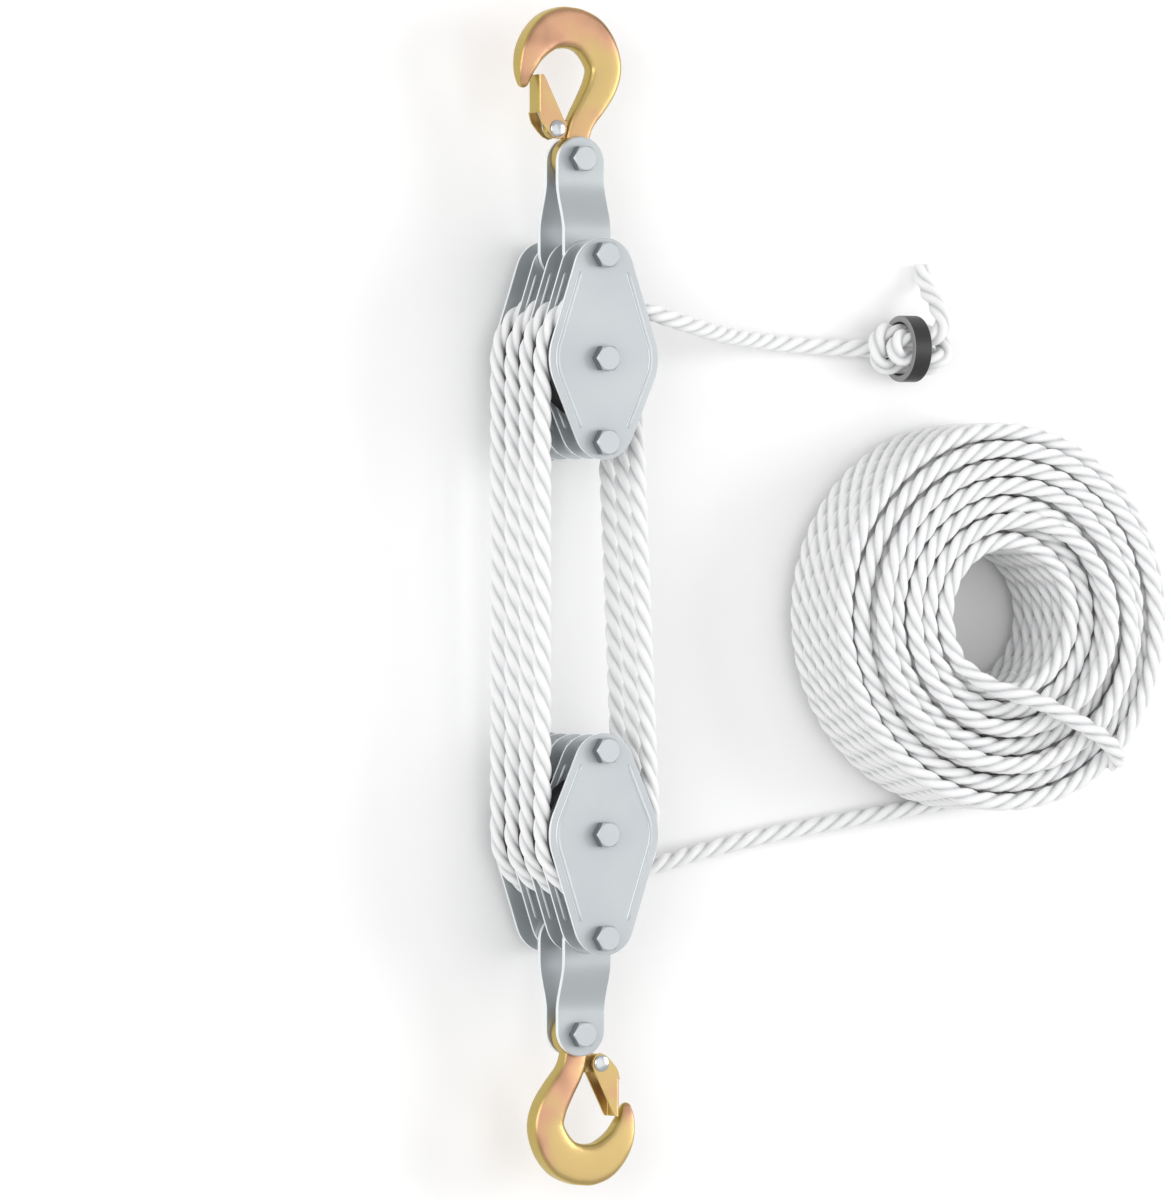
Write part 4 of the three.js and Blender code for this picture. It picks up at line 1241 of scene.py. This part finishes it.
def forged_hook():
    """The bar, eye and lug skinned as one body, smoothed and drilled."""
    body = bmesh.new()
    hook_bar(body)
    eye = [(0, -EYE_HALF), (EYE_RADIUS, -EYE_HALF), (EYE_RADIUS, EYE_HALF), (0, EYE_HALF)]
    rounding = [0, EYE_ROUND, EYE_ROUND, 0]
    turn_about_z(body, rounded_outline([Vector(corner) for corner in eye], rounding))
    lug_ends = [(0, RIVET_ALONG, LUG_RADIUS), (RIVET_ACROSS, RIVET_ALONG, LUG_RADIUS)]
    lug = hull_of_circles(lug_ends, LUG_ARC_STEPS)
    plate_solid(body, lug, [], -LUG_THICKNESS / 2, LUG_THICKNESS, LUG_EDGE)
    rough = finish_mesh("rough_hook", body, GOLD)
    skin = rough.modifiers.new("skin", "REMESH")
    skin.mode = "VOXEL"
    skin.voxel_size = HOOK_VOXEL
    flow = rough.modifiers.new("flow", "SMOOTH")
    flow.factor = FLOW_FACTOR
    flow.iterations = FLOW_PASSES
    applied(rough)
    drills = bmesh.new()
    for x, y, radius in (
        (0, 0, BOLT_RADIUS + HOLE_GAP),
        (RIVET_ACROSS, RIVET_ALONG, RIVET_RADIUS + HOLE_GAP),
    ):
        plate_solid(drills, circle_points(x, y, radius), [], -EYE_HALF * 2, EYE_HALF * 4)
    drill = finish_mesh("drill", drills, GOLD)
    cut = rough.modifiers.new("cut", "BOOLEAN")
    cut.operation = "DIFFERENCE"
    cut.object = drill
    cut.solver = "EXACT"
    applied(rough)
    result = bmesh.new()
    result.from_mesh(rough.data)
    for piece in (rough, drill):
        bpy.data.objects.remove(piece)
    return result


hook = forged_hook()
hook_place(hook)
both_sides(hook, "forged_hook", "hook", "hook", GOLD, HOOK_SHARP_DEGREES)

# Latches: folded from sheet steel with the hooks' yellow film, two ears on the rivet joined by a
# web on the outer side, which is cut away near the rivet.
LATCH_SHEET = 1.2 * MM
LATCH_INNER_HALF = 5.2 * MM
LATCH_OUTER_HALF = LATCH_INNER_HALF + LATCH_SHEET
LATCH_EAR = 6 * MM
LATCH_TIP_GAP = 4.2 * MM
LATCH_LENGTH = 0.34 * HOOK_REACH
LATCH_SPREAD = (
    HOOK_LINE[-1][0] * HOOK_REACH - HOOK_LINE[-1][2] * HOOK_DEPTH / 2 - LATCH_TIP_GAP - RIVET_ACROSS
)
FOLD_RADIUS = 1.9 * MM
WEB_START = 0.305
# Across as shares of the spread or, behind the rivet, of the ear; along of the length or the ear.
LATCH_OUTLINE = [
    (0.127, -0.9),
    (0.472, -0.35),
    (0.898, 0.13),
    (0.98, 0.284),
    (0.99, WEB_START),
    ("fold", WEB_START),
    ("fold", 1.03),
    (0.78, 1.042),
    (0.7, 1.01),
    (-0.72, 0.143),
    (-0.98, 0.021),
    (-0.72, -0.65),
    (-0.25, -0.95),
]
# How far each corner of the outline is rounded, in mm.
LATCH_ROUNDING = (3, 3, 2, 1, 0.1, 0.1, 0.3, 1.2, 1.2, 4, 2, 2, 2)
LATCH_EDGE = 0.3 * MM
LATCH_BORE_STEPS = 32
LATCH_SHARP_DEGREES = 40
FOLD_STEP_DEGREES = 15
# Where the web is cut across, as shares of the latch's length.
WEB_STATIONS = (WEB_START, WEB_START + 0.01, 0.5, 0.8, 1.03, 1.04)


def latch_point(x, y):
    """A corner of the latch's outline in the hook's own frame."""
    if x == "fold":
        across = LATCH_SPREAD - FOLD_RADIUS
    else:
        across = x * (LATCH_SPREAD if x > 0 else LATCH_EAR)
    along = y * (LATCH_LENGTH if y > 0 else LATCH_EAR)
    return Vector((RIVET_ACROSS + across, RIVET_ALONG + along))


latch = bmesh.new()
corners = [latch_point(x, y) for x, y in LATCH_OUTLINE]
ear = rounded_outline(corners, [r * MM for r in LATCH_ROUNDING])
bore = circle_points(RIVET_ACROSS, RIVET_ALONG, RIVET_RADIUS + HOLE_GAP, LATCH_BORE_STEPS)
for bottom in (-LATCH_OUTER_HALF, LATCH_INNER_HALF):
    plate_solid(latch, ear, [bore], bottom, LATCH_SHEET, LATCH_EDGE)
web_edge = RIVET_ACROSS + LATCH_SPREAD
fold = []
for radius in (FOLD_RADIUS, FOLD_RADIUS - LATCH_SHEET):
    arc = [
        (
            web_edge - FOLD_RADIUS + radius * math.sin(math.radians(a)),
            LATCH_OUTER_HALF - FOLD_RADIUS + radius * math.cos(math.radians(a)),
        )
        for a in range(0, 91, FOLD_STEP_DEGREES)
    ]
    side = arc + [(x, -z) for x, z in reversed(arc)]
    fold += side if radius == FOLD_RADIUS else side[::-1]
web = [[(x, RIVET_ALONG + s * LATCH_LENGTH, z) for x, z in fold] for s in WEB_STATIONS]
loft_rings(latch, web)
hook_place(latch)
both_sides(latch, "folded_latch", "latch", "latch", GOLD, LATCH_SHARP_DEGREES)

# Latch rivets: bright steel pins through the ears of the latch and the lug of the hook, each with
# a low dome at both ends.
RIVET_HEAD = 4.6 * MM
RIVET_RISE = 1.3 * MM
DOME_STEP_DEGREES = 10
rivet_half = LATCH_OUTER_HALF + TOUCH_GAP
dome = [
    (RIVET_HEAD * math.cos(math.radians(a)), rivet_half + RIVET_RISE * math.sin(math.radians(a)))
    for a in range(0, 91, DOME_STEP_DEGREES)
]
rivet_side = [(RIVET_RADIUS, 0), (RIVET_RADIUS, rivet_half), *dome[:-1]]
rivet_profile = [(0, -dome[-1][1])] + [(r, -z) for r, z in reversed(rivet_side[1:])]
rivet_profile += rivet_side[1:] + [(0, dome[-1][1])]
rivet = bmesh.new()
turn_about_z(rivet, rivet_profile, SMALL_ROUND_STEPS)
shift(rivet, x=RIVET_ACROSS, y=RIVET_ALONG)
hook_place(rivet)
both_sides(rivet, "domed_rivet", "latch_rivet", "hook", BRIGHT)

# Latch springs: round spring wire, wound a turn and a half about the rivet beside the lug, with a
# straight leg that presses the latch outwards, against the tip of the hook.
SPRING_WIRE = 0.7 * MM
SPRING_GAP = 0.45 * MM
SPRING_RADIUS = 3.4 * MM
SPRING_TURNS = 1.5
SPRING_ROOT = 3.75 * MM
SPRING_LEG = 15 * MM
SPRING_STEPS = 36
WIRE_SIDES = 10
WIRE_SHARP_DEGREES = 60
spring_low = LUG_THICKNESS / 2 + TOUCH_GAP + SPRING_WIRE / 2
spring_line = []
for i in range(SPRING_STEPS + 1):
    turn = SPRING_TURNS * (i / SPRING_STEPS - 1) * 2 * math.pi
    spring_line.append(
        (
            RIVET_ACROSS + SPRING_RADIUS * math.cos(turn),
            RIVET_ALONG + SPRING_RADIUS * math.sin(turn),
            spring_low + (SPRING_WIRE + SPRING_GAP) * SPRING_TURNS * i / SPRING_STEPS,
        )
    )
x, y, z = spring_line[-1]
leg_end = web_edge - LATCH_SHEET - SPRING_GAP - SPRING_WIRE / 2
spring_line += [(x + SPRING_WIRE, y + SPRING_ROOT, z), (leg_end, y + SPRING_LEG, z)]
spring = bmesh.new()
spring_way = np.gradient(np.array(spring_line), axis=0)
rings = []
for centre, way in zip(spring_line, spring_way):
    way = Vector(way).normalized()
    out = Vector((0, 0, 1)) - way * way.z
    out.normalize()
    side = way.cross(out)
    ring = [
        Vector(centre) + (out * math.cos(a) + side * math.sin(a)) * SPRING_WIRE / 2
        for a in (2 * math.pi * k / WIRE_SIDES for k in range(WIRE_SIDES))
    ]
    rings.append(ring)
loft_rings(spring, rings)
hook_place(spring)
both_sides(
    spring,
    "torsion_spring",
    "latch_spring",
    "latch",
    BRIGHT,
    WIRE_SHARP_DEGREES,
)

# Stage: a plain white floor under soft studio light from above, with a key light on the right
# and a fill light on the left, and an even pale surround.
FLOOR_HALF = 4
FLOOR_DROP = 0.3 * MM
LIGHT_AIM = Vector((0.1, 0, 0))
# For each light, its name, place, width and power.
LIGHTS = (
    ("key", (2.0, 0.2, 1.45), 1.3, 20),
    ("fill", (-2.0, 0.3, 1.8), 1.6, 24),
    ("top", (0.2, -0.2, 2.6), 2.4, 12),
)
SURROUND_STRENGTH = 0.7
floor_mesh = bmesh.new()
bmesh.ops.create_grid(floor_mesh, x_segments=1, y_segments=1, size=FLOOR_HALF)
shift(floor_mesh, z=-FLOOR_DROP)
floor_material, _, floor_shader = new_material("studio_floor")
floor_shader.inputs["Base Color"].default_value = linear("FBFBFB")
floor_shader.inputs["Roughness"].default_value = 0.9
floor = finish_mesh("floor", floor_mesh, floor_material)

for name, place, size, power in LIGHTS:
    light = bpy.data.lights.new(name, "AREA")
    light.size = size
    light.energy = power
    lamp = bpy.data.objects.new(name, light)
    bpy.context.scene.collection.objects.link(lamp)
    lamp.location = place
    lamp.rotation_euler = (LIGHT_AIM - Vector(place)).to_track_quat("-Z", "Y").to_euler()
world = bpy.data.worlds.new("surround")
world.use_nodes = True
surround = world.node_tree.nodes["Background"]
surround.inputs["Color"].default_value = linear("F6F6F6")
surround.inputs["Strength"].default_value = SURROUND_STRENGTH
bpy.context.scene.world = world
bpy.context.scene.view_settings.view_transform = "Standard"
